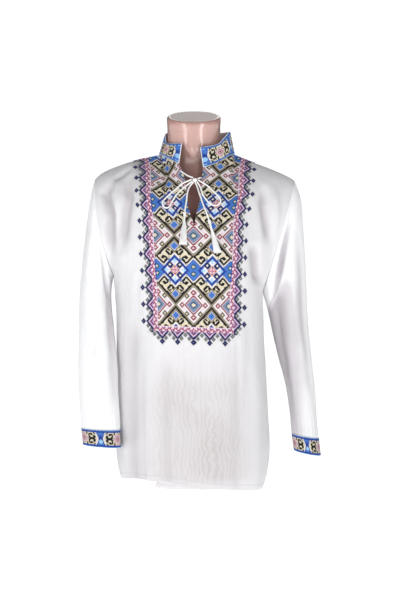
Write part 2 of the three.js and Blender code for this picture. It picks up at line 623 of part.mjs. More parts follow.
// A point of the collar: share 0 is its right end and 1 its left end, round the back; up 0 foot, 1 top edge.
function collarPoint(share, up) {
  const slitEnd = (x) => Math.asin((x - NECK.x) / NECK.wide);
  const { right, left } = SLIT.at(-1);
  const footAngle = lerp(slitEnd(-right), slitEnd(left) - 2 * Math.PI, share);
  const degrees = lerp(COLLAR_TOP.at(-1).angle, COLLAR_TOP[0].angle, share);
  const topAngle = THREE.MathUtils.degToRad(degrees);
  const foot = topPoint(Math.cos(footAngle) > 0 ? "front" : "back", NECK.x + NECK.wide * 0.99999 * Math.sin(footAngle));
  const [c, s] = [Math.cos(topAngle), Math.sin(topAngle)];
  const deep = c > 0 ? COLLAR.front : COLLAR.back;
  const top = vec(COLLAR.x + COLLAR.wide * s, COLLAR.y - deep * c, tabled(COLLAR_TOP, "angle", "z", degrees));
  const p = foot.lerp(top, up);
  p.z += SEAM;
  return p;
}

function collarGeometry() {
  const { around, up } = COLLAR_GRID;
  const outer = [];
  const inner = [];
  for (const j of count(up + 1))
    for (const i of count(around + 1)) {
      const p = collarPoint(i / around, j / up);
      const before = collarPoint(Math.max(0, i - 0.5) / around, j / up);
      const after = collarPoint(Math.min(around, i + 0.5) / around, j / up);
      const inward = after.sub(before).cross(vec(0, 0, 1)).normalize();
      outer.push(p);
      inner.push(p.clone().addScaledVector(inward, BAND));
    }
  const quads = [];
  const wide = around + 1;
  for (const j of count(up))
    for (const i of count(around))
      quads.push([j * wide + i, (j + 1) * wide + i, (j + 1) * wide + i + 1, j * wide + i + 1]);
  return wall(outer, inner, quads);
}

// ---- The form -----------------------------------------------------------------------------------------------
function formGeometry() {
  const points = [];
  for (const row of FORM)
    for (const i of count(FORM_AROUND)) {
      const angle = (i / FORM_AROUND) * 2 * Math.PI;
      const deep = Math.sin(angle) > 0 ? row.front : row.back;
      const reach = sectionReach(angle, row.wide, deep, row.square);
      const [x, y] = [-reach * Math.cos(angle), -reach * Math.sin(angle)];
      points.push(vec(row.x + x, row.y + y, row.z + (row.lean * y) / deep));
    }
  const triangles = [];
  const last = FORM.length - 1;
  for (const j of count(last))
    for (const i of count(FORM_AROUND)) {
      const k = (i + 1) % FORM_AROUND;
      const [a, b] = [j * FORM_AROUND + i, j * FORM_AROUND + k];
      const [c, d] = [a + FORM_AROUND, b + FORM_AROUND];
      triangles.push(a, b, d, a, d, c);
    }
  const [foot, top] = [points.length, points.length + 1];
  points.push(vec(FORM[0].x, FORM[0].y, FORM[0].z), vec(FORM[last].x, FORM[last].y, FORM[last].z));
  for (const i of count(FORM_AROUND)) {
    const k = (i + 1) % FORM_AROUND;
    triangles.push(foot, k, i, top, last * FORM_AROUND + i, last * FORM_AROUND + k);
  }
  const geometry = new THREE.BufferGeometry().setFromPoints(points);
  geometry.setIndex(triangles);
  return geometry;
}

// ---- The neck tie -------------------------------------------------------------------------------------------
function cordGeometry(route) {
  const path = new THREE.CatmullRomCurve3(route.map((p) => vec(...p)), false, "centripetal");
  const sides = 8;
  const section = count(sides).map((i) => {
    const angle = (i / sides) * 2 * Math.PI;
    return new THREE.Vector2(Math.cos(angle), Math.sin(angle)).multiplyScalar(CORD / 2);
  });
  const steps = Math.max(6, Math.round(path.getLength() / (2.5 * CORD)));
  return new THREE.ExtrudeGeometry(new THREE.Shape(section), { steps, extrudePath: path, bevelEnabled: false });
}

function knotGeometry() {
  return new THREE.SphereGeometry(1, 14, 10).scale(...KNOT.reach).translate(...KNOT.centre);
}

function solidOf(geometry) {
  const plain = new THREE.BufferGeometry().setAttribute("position", geometry.getAttribute("position"));
  plain.setIndex(geometry.index);
  const merged = mergeVertices(plain, 1e-4);
  const mesh = { numProp: 3, vertProperties: merged.attributes.position.array, triVerts: new Uint32Array(merged.index.array) };
  return new wasm.Manifold(new wasm.Mesh(mesh));
}

function geometryOf(solid) {
  const mesh = solid.getMesh();
  const geometry = new THREE.BufferGeometry();
  geometry.setAttribute("position", new THREE.BufferAttribute(new Float32Array(mesh.vertProperties), 3));
  return geometry.setIndex(new THREE.BufferAttribute(mesh.triVerts, 1));
}

// A tassel: a bound head from which loose strands hang, each apart from the others.
function tasselGeometry({ top, foot, strands }) {
  const [start, end] = [vec(...top), vec(...foot)];
  const down = end.clone().sub(start).normalize();
  const profile = [[0, 0], [1.9, 0], [TASSEL.knob, 2.5], [TASSEL.knob, 5], [TASSEL.neck, 6.8], [TASSEL.neck, TASSEL.head], [0, TASSEL.head]];
  const lathe = new THREE.LatheGeometry(profile.map(([r, h]) => new THREE.Vector2(r, -h)).reverse(), 10);
  const aim = new THREE.Quaternion().setFromUnitVectors(vec(0, -1, 0), down);
  lathe.applyQuaternion(aim).translate(...top);
  let solid = solidOf(lathe);
  const golden = Math.PI * (3 - Math.sqrt(5));
  for (const i of count(strands)) {
    const radius = Math.sqrt((i + 0.5) / strands);
    const [c, s] = [Math.cos(i * golden) * radius, Math.sin(i * golden) * radius];
    const root = start.clone().addScaledVector(down, TASSEL.head - 1.5).add(vec(c * 2.2, s * 2.2, 0));
    const uneven = 1 - 0.05 * ((i * 7) % 5) / 4;
    const tip = start.clone().lerp(end, uneven).add(vec(c * TASSEL.spread[0], s * TASSEL.spread[1], 0));
    const middle = root.clone().lerp(tip, 0.5).add(vec(c * 0.8, s * 0.6, 0));
    const rings = [root, middle, tip];
    const points = rings.flatMap((centre) =>
      count(3).map((k) => {
        const angle = (k / 3) * 2 * Math.PI + i;
        return centre.clone().add(vec(Math.cos(angle), Math.sin(angle), 0).multiplyScalar(TASSEL.strand));
      }),
    );
    const triangles = [0, 1, 2, 6, 8, 7];
    for (const j of count(2))
      for (const k of count(3)) {
        const [a, b] = [j * 3 + k, j * 3 + ((k + 1) % 3)];
        triangles.push(a, a + 3, b, b, a + 3, b + 3);
      }
    const strand = new THREE.BufferGeometry().setFromPoints(points);
    strand.setIndex(triangles);
    solid = solid.add(solidOf(strand));
  }
  return geometryOf(solid);
}

// ---- The shirt on its form ----------------------------------------------------------------------------------
const FINISHES = {
  linen: new THREE.MeshStandardMaterial({ color: 0xf4f2f3, roughness: 0.9, metalness: 0, side: THREE.DoubleSide }),
  embroidery: new THREE.MeshStandardMaterial({ color: 0x4a78c4, roughness: 0.75, metalness: 0 }),
  cord: new THREE.MeshStandardMaterial({ color: 0xf7f5f2, roughness: 0.85, metalness: 0 }),
  form: new THREE.MeshStandardMaterial({ color: 0xc9988f, roughness: 0.25, metalness: 0 }),
};

const shirt = new THREE.Group();
function add(name, geometry, finish) {
  const mesh = new THREE.Mesh(geometry, FINISHES[finish].clone());
  mesh.name = name;
  shirt.add(mesh);
}

add("torso_form", formGeometry(), "form");
add("front", panelGeometry("front").geometry, "linen");
add("back", panelGeometry("back").geometry, "linen");
add("collar", collarGeometry(), "embroidery");
for (const side of ["right", "left"]) {
  add("sleeve_" + side, sleeveGeometry(side), "linen");
  add("cuff_" + side, cuffGeometry(side), "embroidery");
}
add("tie_knot", knotGeometry(), "cord");
for (const [name, route] of Object.entries(CORDS)) add(name, cordGeometry(route), "cord");
for (const [name, tassel] of Object.entries(TASSELS)) add(name, tasselGeometry(tassel), "cord");

export default shirt;
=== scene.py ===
"""Embroidered linen folk shirt on a torso form, built as an add-on that is run as a script.

Lengths in the tables are millimetres, with +Z up, the front of the shirt facing -Y and the wearer's right
side at -X. The shirt's cloth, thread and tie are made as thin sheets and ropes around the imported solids.
"""
import bisect
import math
import random

import bmesh
import bpy
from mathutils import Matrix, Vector, noise


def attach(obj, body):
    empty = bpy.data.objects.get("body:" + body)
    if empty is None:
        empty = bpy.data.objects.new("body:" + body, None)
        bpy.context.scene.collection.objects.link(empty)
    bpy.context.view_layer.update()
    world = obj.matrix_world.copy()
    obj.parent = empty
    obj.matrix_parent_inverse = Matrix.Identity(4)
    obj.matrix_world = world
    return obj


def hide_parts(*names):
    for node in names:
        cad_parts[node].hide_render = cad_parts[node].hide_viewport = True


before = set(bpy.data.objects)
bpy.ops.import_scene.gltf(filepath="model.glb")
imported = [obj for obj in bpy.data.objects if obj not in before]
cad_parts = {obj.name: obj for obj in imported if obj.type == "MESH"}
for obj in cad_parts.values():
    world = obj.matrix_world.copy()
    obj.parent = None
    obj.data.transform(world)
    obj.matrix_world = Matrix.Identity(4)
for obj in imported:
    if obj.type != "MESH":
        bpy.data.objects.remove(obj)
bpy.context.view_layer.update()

bl_info = {
    "name": "Embroidered Folk Shirt",
    "version": (1, 0, 0),
    "blender": (4, 5, 0),
    "location": "View3D > Sidebar > Folk Shirt",
    "description": "Linen folk shirt with cross-stitch and a tasselled neck tie, on a torso form",
    "category": "Add Mesh",
}

MM = 0.001
TAU = 2 * math.pi
GOLDEN_TURN = 2.39996  # angle between one tassel thread and the next

# ---- Shape tables, in millimetres -------------------------------------------------------------------
# Sections of the body from the hem (0) to the armpits (1): reach to the right, left, front and back.
BODY_ROWS = [
    (0, 168, 157, 126, 122),
    (0.08, 176, 166, 129, 125),
    (0.2, 180, 171, 131, 125),
    (0.4, 179, 167, 130, 119),
    (0.6, 178, 162, 129, 117),
    (0.8, 178, 157, 131, 122),
    (1, 184, 155, 134, 129),
]
SQUARENESS = 2.25
HEM_ROWS = [(0, 22), (0.14, 30), (0.25, 18), (0.38, 6), (0.5, 4), (0.63, 9), (0.75, 14), (0.88, 17), (1, 22)]
ARMHOLES = {
    "right": {"side": -1, "tip": (-227, 4, 702), "pit": (-184, 0, 481), "front": 58, "back": 62, "bow": 10},
    "left": {"side": 1, "tip": (229, 4, 697), "pit": (155, 0, 445), "front": 50, "back": 54, "bow": 1},
}
NECK = {
    "x": 5, "y": -3, "wide": 85.7, "front": 70, "back": 66, "z": 757, "drop": 37, "rise": 11, "steep": 2.6
}
SHOULDER_ROWS = {
    "right": [(80.7, 757), (138, 744), (178, 731), (210, 717), (227, 702)],
    "left": [(90.7, 757), (137, 739), (177, 724), (215, 707), (229, 697)],
}
# Height, and how far the right and the left edge of the neck slit stand from the centre line.
SLIT_ROWS = [
    (592, 0.4, 0.4),
    (613, 8, 3.5),
    (626, 13, 7),
    (644, 15, 11.5),
    (662, 17, 13.5),
    (680, 20, 13.5),
    (699, 26, 17),
    (718, 35, 19),
]
SLIT_AT = 0.49  # level above the armpits at which the slit ends
EASED = {"right": 0.6, "left": 0.1}  # share of the slit's shift that the stitches give up at their border
TOOTH_SPREAD = {"right": 1.02, "left": 1.15}  # how far the teeth low on the chest are drawn out sideways
PANEL = 112  # half width of the stiff embroidered chest
LEVEL_RISE = 440  # length that the weave map gives to one level of a panel
SLEEVE_FLAT = (300, 560)  # width and length that the weave map gives to a sleeve
CHEST_SWELL, BACK_SWELL = 28, 26
ROLL_RISE, ROLL_TURN = 2.5, 0.7

# Folds as paths in X and Z, with their half width and depth. A negative depth is a ridge.
FRONT_FOLDS = [
    ([(-182, 706), (-199, 664), (-188, 618), (-190, 575), (-184, 500)], 11, 13),
    ([(-172, 712), (-176, 668), (-172, 620), (-174, 560)], 8, -4),
    ([(-156, 716), (-146, 655), (-156, 600), (-160, 520)], 12, 12),
    ([(156, 690), (154, 640), (161, 598), (166, 545)], 10, 11),
    ([(180, 690), (184, 640), (186, 590), (180, 540)], 9, -4),
    ([(133, 560), (137, 500), (146, 452)], 12, 12),
    ([(-136, 420), (-139, 240), (-137, 10)], 19, 7),
    ([(-93, 380), (-96, 220), (-92, 8)], 17, -6),
    ([(-62, 330), (-63, 180), (-60, 6)], 13, 5),
    ([(96, 300), (99, 160), (97, 2)], 16, 3.5),
    ([(136, 340), (141, 170), (138, 0)], 14, -4),
]
BACK_FOLDS = [
    ([(-150, 640), (-146, 560), (-152, 480)], 14, 9),
    ([(148, 630), (142, 550), (140, 470)], 14, 8),
    ([(-112, 430), (-108, 240), (-112, 8)], 20, 10),
    ([(-66, 470), (-70, 260), (-74, 8)], 19, -5),
    ([(-24, 500), (-28, 260), (-30, 8)], 17, 7),
    ([(38, 480), (44, 240), (46, 6)], 19, 8),
    ([(84, 450), (86, 260), (90, 6)], 16, -5),
    ([(124, 440), (126, 220), (128, 4)], 17, 9),
]
# Finer creases, which only the cloth of this scene has.
FRONT_CREASES = [
    ([(-138, 728), (-160, 712), (-186, 690)], 6, 5),
    ([(-120, 500), (-126, 440), (-121, 380)], 8, 2.5),
    ([(146, 560), (150, 500), (147, 450)], 6, -2),
    ([(-24, 250), (-28, 140), (-26, 8)], 11, 1.6),
    ([(18, 300), (20, 160), (16, 8)], 15, -1.4),
    ([(58, 280), (62, 140), (58, 8)], 10, 1.6),
    ([(-112, 330), (-116, 200), (-112, 10)], 8, 2),
    ([(118, 420), (120, 320), (116, 200)], 9, 2),
    ([(212, 660), (206, 610), (198, 560)], 6, 2),
]
BACK_CREASES = [
    ([(-60, 720), (-66, 660), (-70, 600)], 12, 2.5),
    ([(54, 715), (60, 650), (64, 590)], 12, 2.5),
    ([(4, 560), (8, 420), (4, 250)], 10, 2),
    ([(-132, 560), (-120, 480), (-126, 400)], 8, 3),
    ([(130, 540), (122, 470), (128, 390)], 8, 3),
]
# Outer edge X and Z, inner edge X and Z, middle Y and half thickness, from below the armhole to the cuff.
SLEEVE_ROWS = {
    "right": [
        (-236, 664, -187, 469, 0, 58),
        (-244, 612, -189, 454, -4, 54),
        (-250, 560, -190, 436, -10, 49),
        (-254, 506, -188, 412, -19, 45),
        (-257, 450, -184, 380, -32, 42),
        (-259, 372, -178, 330, -48, 40),
        (-259, 290, -172, 264, -63, 37),
        (-256, 208, -168, 196, -73, 34),
        (-251, 143, -166, 139, -77, 31),
    ],
    "left": [
        (242, 652, 160, 428, 2, 52),
        (248, 596, 165, 410, 3, 52),
        (252, 540, 169, 390, 5, 51),
        (255, 484, 174, 364, 7, 49),
        (257, 424, 182, 330, 9, 47),
        (262, 352, 194, 284, 10, 45),
        (270, 272, 207, 230, 10, 43),
        (277, 192, 215.5, 177, 10, 42),
        (283, 112.5, 222, 122.5, 10, 41),
    ],
}
# Turn round the sleeve at the start and at the end, start, end, half width in turns and depth.
SLEEVE_FOLDS = {
    "right": [
        (0.3, 0.42, 0.02, 0.42, 0.04, 8),
        (0.17, 0.17, 0.1, 0.7, 0.05, -4),
        (0.4, 0.4, 0.3, 0.95, 0.05, 5),
        (0.24, 0.24, 0.45, 1.05, 0.04, 3),
        (0.65, 0.65, 0.05, 0.6, 0.05, 8),
        (0.82, 0.82, 0.3, 1.05, 0.05, 5),
    ],
    "left": [
        (0.2, 0.35, 0.01, 0.24, 0.068, 18),
        (0.36, 0.4, 0.15, 0.75, 0.05, 9),
        (0.22, 0.22, 0.02, 0.6, 0.045, -5),
        (0.13, 0.13, 0.15, 0.9, 0.045, 6),
        (0.42, 0.42, 0.35, 1, 0.05, 5),
        (0.68, 0.68, 0.05, 0.7, 0.05, 9),
        (0.84, 0.84, 0.2, 1.05, 0.05, 5),
    ],
}
# Painted shade on a sleeve where it faces the body: depth, turn and half width in turns.
INNER_PAINTED_SHADE = {"right": (8, 0.47, 0.1), "left": (28, 0.41, 0.18)}
CUFF_ROWS = {
    "right": [(-250.98, 142.7, -165.97, 138.7, -77, 31), (-247, 105, -164, 98, -78, 31)],
    "left": [(283.05, 112.2, 222.05, 122.2, 10, 41), (287.5, 71, 227.5, 82.5, 10, 41)],
}
COLLAR = {"x": 6.5, "y": -8, "wide": 73.5, "front": 62, "back": 67}
COLLAR_TOP_ROWS = [
    (-355.4, 766),
    (-321, 776),
    (-303, 793),
    (-284, 806),
    (-260, 810),
    (-180, 813),
    (-110, 809),
    (-92, 801),
    (-76, 784),
    (-58, 778),
    (-28.4, 776),
]
# Height, middle X and Y, half width, reach to the front and back, squareness and lean of the form's sections.
FORM_ROWS = [
    (0, 0, 0, 90, 48, 52, 2.1, 0),
    (22, 0, 0, 90, 48, 52, 2.1, 0),
    (30, 0, 0, 120, 72, 76, 2.2, 0),
    (44, 0, 0, 143, 91, 95, 2.3, 0),
    (66, 0, 0, 151, 97, 101, 2.3, 0),
    (105, 0, 0, 153, 98, 102, 2.3, 0),
    (170, 0, 0, 146, 94, 92, 2.3, 0),
    (240, 0, 0, 138, 92, 84, 2.3, 0),
    (320, 0, 0, 138, 97, 87, 2.3, 0),
    (400, 0, 0, 141, 106, 97, 2.3, 0),
    (470, 0, 0, 140, 113, 105, 2.3, 0),
    (530, 0, 0, 144, 114, 109, 2.2, 0),
    (580, 0, 0, 154, 109, 108, 2.1, 0),
    (620, 0, 0, 168, 97, 101, 1.95, 0),
    (652, 0, 0, 182, 82, 89, 1.8, 0),
    (674, 0, 0, 190, 70, 78, 1.7, 0),
    (692.8, 0, 0, 192, 62, 70, 1.6, 0),
    (704.8, 0, 0, 187, 57, 64, 1.5, 0),
    (714.8, 2, 0, 172, 53, 60, 1.35, 0),
    (725.8, 4, 0, 144, 50, 58, 1.25, 0),
    (736.8, 5, 0, 113, 48, 57, 1.3, 1),
    (747.5, 4, 0, 88, 49, 56, 1.45, 3),
    (758, 2, -1, 73, 49, 55, 1.75, 6),
    (772, 0, -4, 64, 50, 54, 2, 10),
    (792, -1, -8, 61, 49, 53, 2, 14),
    (816, -2, -13, 60, 49, 53, 2.1, 18),
    (838, -2, -18, 61, 50, 54, 2.2, 20),
    (842, -2, -19, 58, 47, 51, 2.2, 19),
]

KNOT_CENTRE = (1, -94, 691)
TIE_ROUTES = {
    "tie_cord_right": [(-30.8, -76.2, 712.7), (-22, -83.5, 706), (-12.5, -90, 700), (-3.5, -93.6, 696.3)],
    "tie_cord_left": [(15.1, -87.1, 697.1), (11, -90, 695.8), (6.9, -92.2, 694.1)],
    "tie_loop_right": [
        (-6.9, -94.6, 692.3), (-26, -97, 683), (-44, -100.5, 668), (-58, -104.5, 655.5), (-66.5, -108.5, 647),
        (-70, -112.5, 638.5), (-68, -115.5, 631), (-61.5, -117, 628), (-55, -116, 630.8),
        (-51.5, -113.5, 637.5), (-45.5, -109.5, 648.5), (-38, -105, 659.5), (-28, -101.5, 669.5),
        (-15, -98, 680.5), (-5.2, -95.6, 688.2),
    ],
    "tie_loop_left": [
        (8.5, -95.3, 690.6), (29, -100.5, 677.5), (44, -107, 663), (54.5, -111, 651), (57.5, -114, 642.5),
        (53.5, -116.5, 635.8), (45, -118, 633.2), (35.5, -117.5, 636.5), (26, -115.5, 645.5), (18, -110, 659),
        (13, -103, 674), (6.1, -96.9, 686.8),
    ],
    "tie_end_right": [(-2.3, -96.1, 686.3), (-10, -99, 677), (-15, -106, 664), (-17.5, -115.5, 644),
                      (-21, -127.5, 619.5)],
    "tie_end_left": [(1.7, -96.2, 685.8), (6, -100.5, 675), (11, -109, 659), (19.5, -121.5, 634),
                     (31.5, -132.5, 601.5)],
}
TASSELS = {
    "tassel_right": ((-21.1, -127.9, 618.7), (-25, -147.5, 545)),
    "tassel_left": ((31.8, -132.8, 600.8), (51, -145, 527)),
}


# ---- Sizes and colours that a user may change ------------------------------------------------------
def length_setting(name, description, default):
    return bpy.props.FloatProperty(
        name=name, description=description, default=default, min=0, subtype="DISTANCE", unit="LENGTH"
    )


def colour_setting(name, description, default):
    return bpy.props.FloatVectorProperty(
        name=name, description=description, default=default, size=3, min=0, max=1, subtype="COLOR"
    )


class ClothSettings(bpy.types.PropertyGroup):
    """Sizes and colour of the linen."""

    thickness: length_setting("Cloth Thickness", "Thickness of the linen", 0.0008)
    band: length_setting("Band Thickness", "Thickness of the doubled collar and cuffs", 0.0016)
    thread_pitch: length_setting("Thread Pitch", "Distance from one warp thread to the next", 0.0009)
    hem: length_setting("Hem Width", "Width of the turned-up hem", 0.012)
    colour: colour_setting("Linen", "Colour of the bleached linen", (0.94, 0.943, 0.957))
    # Painted shade: the front and back get a greyer copy of the linen than the sleeves.
    shade_painted_linen: colour_setting("Shade-Painted Linen", "Colour of the linen with painted shade", (0.77, 0.76, 0.775))
    # Painted shade: the linen darkens towards this colour with the depth of a fold; the hem's stitched line
    # uses it too.
    hollow: colour_setting("Painted Fold Shade", "Painted shade of the linen deep in a fold", (0.56, 0.53, 0.56))
    warmth: colour_setting("Show-Through", "Tint where the form shows through", (0.58, 0.54, 0.54))


class StitchSettings(bpy.types.PropertyGroup):
    """Size of the cross-stitch and the colours of its threads."""

    wide: length_setting("Stitch Width", "Width of one cross-stitch", 0.00176)
    high: length_setting("Stitch Height", "Height of one cross-stitch", 0.00194)
    lift: length_setting("Stitch Lift", "Height of a stitch's crossing above the cloth", 0.0006)
    navy: colour_setting("Navy", "Thread of the outer teeth", (0.022, 0.022, 0.105))
    royal: colour_setting("Royal Blue", "Thread around the flowers", (0.024, 0.065, 0.34))
    blue: colour_setting("Cornflower", "Thread of the blue ground", (0.070, 0.195, 0.57))
    sky: colour_setting("Sky Blue", "Light blue thread", (0.36, 0.62, 0.88))
    black: colour_setting("Black", "Thread of the hooks", (0.013, 0.012, 0.015))
    cream: colour_setting("Cream", "Thread inside the hooks", (0.76, 0.69, 0.52))
    straw: colour_setting("Straw", "Thread between the hooks", (0.52, 0.43, 0.25))
    olive: colour_setting("Olive", "Dark outline of the cream squares", (0.055, 0.048, 0.024))
    brick: colour_setting("Brick Red", "Thread of the central lozenges", (0.26, 0.026, 0.030))
    red: colour_setting("Red", "Thread in the middle of the flowers", (0.46, 0.085, 0.12))
    rose: colour_setting("Rose", "Thread of the chain border", (0.40, 0.060, 0.14))
    blush: colour_setting("Blush", "Palest pink thread", (0.80, 0.64, 0.72))
    white: colour_setting("White", "White thread", (0.82, 0.79, 0.80))
    taupe: colour_setting("Taupe", "Thread of the lattice", (0.13, 0.11, 0.10))
    steel: colour_setting("Steel Blue", "Fill of the central lozenges", (0.22, 0.28, 0.42))
    teal: colour_setting("Teal", "Inner outline of the central lozenges", (0.022, 0.10, 0.19))
    mauve: colour_setting("Mauve", "Fill of the outer teeth", (0.21, 0.065, 0.19))
    lilac: colour_setting("Lilac", "Pale line inside the outer teeth", (0.55, 0.42, 0.66))
    slate: colour_setting("Slate", "Small hollow squares beside the teeth", (0.16, 0.17, 0.17))


class TieSettings(bpy.types.PropertyGroup):
    """Size and colour of the neck tie."""

    diameter: length_setting("Cord Diameter", "Diameter of the twisted cord", 0.0034)
    lay: length_setting("Cord Lay", "Length of one full twist of the cord", 0.0085)
    colour: colour_setting("Cotton", "Colour of the cord and tassels", (0.98, 0.975, 0.97))
    strands: bpy.props.IntProperty(
        name="Tassel Strands", description="Threads that hang from each tassel", default=90, min=10, max=200
    )


class FormSettings(bpy.types.PropertyGroup):
    """Finish of the torso form."""

    colour: colour_setting("Skin Tone", "Colour of the glossy moulded torso", (0.52, 0.305, 0.265))
    hollow: colour_setting("Hollow", "Colour of the torso in the shade of the neck slit", (0.30, 0.15, 0.135))
    foot: colour_setting("Foot", "Colour of the foot, which shows below part of the hem", (0.84, 0.83, 0.85))
    cut: colour_setting("Cut", "Colour of the flat cut of the neck", (0.80, 0.67, 0.62))
    roughness: bpy.props.FloatProperty(
        name="Roughness", description="Roughness of the glossy torso", default=0.24, min=0, max=1,
        subtype="FACTOR"
    )


class StageSettings(bpy.types.PropertyGroup):
    """Floor, light and viewpoint."""

    floor: colour_setting("Floor", "Colour of the floor", (0.95, 0.95, 0.95))
    distance: length_setting("Camera Distance", "Distance from the camera to the middle of the shirt", 3.0)
    height: length_setting("Camera Height", "Height of the camera", 0.425)
    sideways: length_setting("Camera Offset", "How far the camera stands to the wearer's left", 0.0132)
    focal: bpy.props.FloatProperty(
        name="Focal Length", description="Focal length of the camera", default=78.82, min=10, unit="CAMERA"
    )
    world: bpy.props.FloatProperty(
        name="Ambient Light", description="Strength of the even light all round", default=0.14, min=0
    )
    key: bpy.props.FloatProperty(
        name="Key Light", description="Power of the large soft light at the wearer's right", default=4, min=0,
        unit="POWER"
    )
    strip: bpy.props.FloatProperty(
        name="Strip Lights", description="Power of each narrow light that draws a highlight on the neck",
        default=6.4, min=0, unit="POWER"
    )
    rear: bpy.props.FloatProperty(
        name="Rear Light", description="Power of the soft light high behind the shirt", default=14, min=0,
        unit="POWER"
    )
    fill: bpy.props.FloatProperty(
        name="Fill Light", description="Power of the soft light at the wearer's left", default=4.5, min=0,
        unit="POWER"
    )


SETTINGS = {
    "shirt_cloth": ClothSettings,
    "shirt_stitch": StitchSettings,
    "shirt_tie": TieSettings,
    "shirt_form": FormSettings,
    "shirt_stage": StageSettings,
}


# ---- Small maths -----------------------------------------------------------------------------------
def lerp(a, b, t):
    return a + (b - a) * t


def clamp(x):
    return min(1.0, max(0.0, x))


def ease(x):
    x = clamp(x)
    return x * x * (3 - 2 * x)


def bump(x):
    return math.exp(-x * x)


class Curve:
    """A smooth curve through the rows of a table, whose first column is the place."""

    def __init__(self, rows):
        self.keys = [row[0] for row in rows]
        self.columns = list(zip(*rows))[1:]
        last = len(rows) - 1
        self.slopes = []
        for column in self.columns:
            ends = [(max(0, k - 1), min(last, k + 1)) for k in range(last + 1)]
            self.slopes.append([(column[b] - column[a]) / (self.keys[b] - self.keys[a]) for a, b in ends])

    def at(self, place, column=0):
        i = min(max(bisect.bisect_right(self.keys, place) - 1, 0), len(self.keys) - 2)
        gap = self.keys[i + 1] - self.keys[i]
        t = clamp((place - self.keys[i]) / gap)
        values, slopes = self.columns[column], self.slopes[column]
        return (
            values[i] * (1 + 2 * t) * (1 - t) ** 2
            + slopes[i] * gap * t * (1 - t) ** 2
            + values[i + 1] * t * t * (3 - 2 * t)
            + slopes[i + 1] * gap * t * t * (t - 1)
        )


BODY, HEM, SLIT = Curve(BODY_ROWS), Curve(HEM_ROWS), Curve(SLIT_ROWS)
SHOULDERS = {side: Curve(rows) for side, rows in SHOULDER_ROWS.items()}
COLLAR_TOP, FORM = Curve(COLLAR_TOP_ROWS), Curve(FORM_ROWS)


def section_reach(angle, wide, deep, square):
    c, s = abs(math.cos(angle)) / wide, abs(math.sin(angle)) / deep
    return (c**square + s**square) ** (-1 / square)


# ---- The shape of the shirt ------------------------------------------------------------------------
def body_point(angle, up):
    """A point on the body below the arms: angle 0 is the right side seam, a quarter turn the centre front."""
    c, s = math.cos(angle), math.sin(angle)
    wide = BODY.at(up, 0 if c > 0 else 1)
    deep = BODY.at(up, 2 if s > 0 else 3)
    reach = section_reach(angle, wide, deep, SQUARENESS)
    hem = HEM.at((angle / TAU + 1) % 1)
    pits = lerp(ARMHOLES["right"]["pit"][2], ARMHOLES["left"]["pit"][2], (1 - c) / 2)
    return Vector((-reach * c, -reach * s, lerp(hem, pits, up)))


def arc_of(start, end, steps=160):
    """Lengths along the armpit section with the angle at each, so that cloth can be laid on it."""
    lengths, angles = [0.0], [start]
    last = body_point(start, 1)
    for i in range(steps):
        angle = lerp(start, end, (i + 1) / steps)
        here = body_point(angle, 1)
        lengths.append(lengths[-1] + math.hypot(here.x - last.x, here.y - last.y))
        angles.append(angle)
        last = here
    return lengths, angles


QUARTER = math.pi / 2
ARCS = {
    ("front", "right"): arc_of(QUARTER, 0),
    ("front", "left"): arc_of(QUARTER, math.pi),
    ("back", "right"): arc_of(3 * QUARTER, TAU),
    ("back", "left"): arc_of(3 * QUARTER, math.pi),
}


def side_of(across):
    return "right" if across < 0 else "left"


def girth(panel, side):
    return ARCS[panel, side][0][-1]


def angle_at(panel, across):
    lengths, angles = ARCS[panel, side_of(across)]
    wanted = abs(across)
    i = min(max(bisect.bisect_right(lengths, wanted) - 1, 0), len(lengths) - 2)
    t = clamp((wanted - lengths[i]) / (lengths[i + 1] - lengths[i]))
    return lerp(angles[i], angles[i + 1], t)


def armhole_out(side):
    """The direction out of an armhole, square to the line from the armpit to the shoulder tip."""
    hole = ARMHOLES[side]
    spine = (Vector(hole["tip"]) - Vector(hole["pit"])).normalized()
    return Vector((hole["side"] * spine.z, 0, -hole["side"] * spine.x)).normalized()


OUT = {side: armhole_out(side) for side in ARMHOLES}


def armhole_point(side, turn):
    """A point of the armhole ring at a turn from the shoulder tip, by way of the front, to the armpit."""
    hole = ARMHOLES[side]
    t = (1 - math.cos(turn)) / 2
    s = math.sin(turn)
    p = Vector(hole["tip"]).lerp(Vector(hole["pit"]), t)
    p.y -= (hole["front"] if s > 0 else hole["back"]) * s
    return p + OUT[side] * (hole["bow"] * s * s)


def top_point(panel, x):
    """The top edge of a panel at a distance from the centre: neckline, then shoulder seam."""
    off = (x - NECK["x"]) / NECK["wide"]
    if abs(off) < 1:
        cos = math.sqrt(1 - off * off)
        if panel == "front":
            drop = NECK["drop"] * cos ** NECK["steep"]
            return Vector((x, NECK["y"] - NECK["front"] * cos, NECK["z"] - drop))
        return Vector((x, NECK["y"] + NECK["back"] * cos, NECK["z"] + NECK["rise"] * cos**2))
    side = side_of(x - NECK["x"])
    near, far = SHOULDER_ROWS[side][0][0], SHOULDER_ROWS[side][-1][0]
    share = clamp((abs(x) - near) / (far - near))
    return Vector((x, lerp(NECK["y"], ARMHOLES[side]["tip"][1], share), SHOULDERS[side].at(abs(x))))


def slit_shift(side, across, t):
    """How far the stiff chest moves sideways at a level above the armpits, as the slit stands open."""
    if t < SLIT_AT:
        return 0.0
    z = lerp(SLIT_ROWS[0][0], SLIT_ROWS[-1][0], (t - SLIT_AT) / (1 - SLIT_AT))
    beside = 1 - ease((abs(across) - PANEL) / (girth("front", side) - PANEL))
    return (-1 if side == "right" else 1) * SLIT.at(z, 0 if side == "right" else 1) * beside


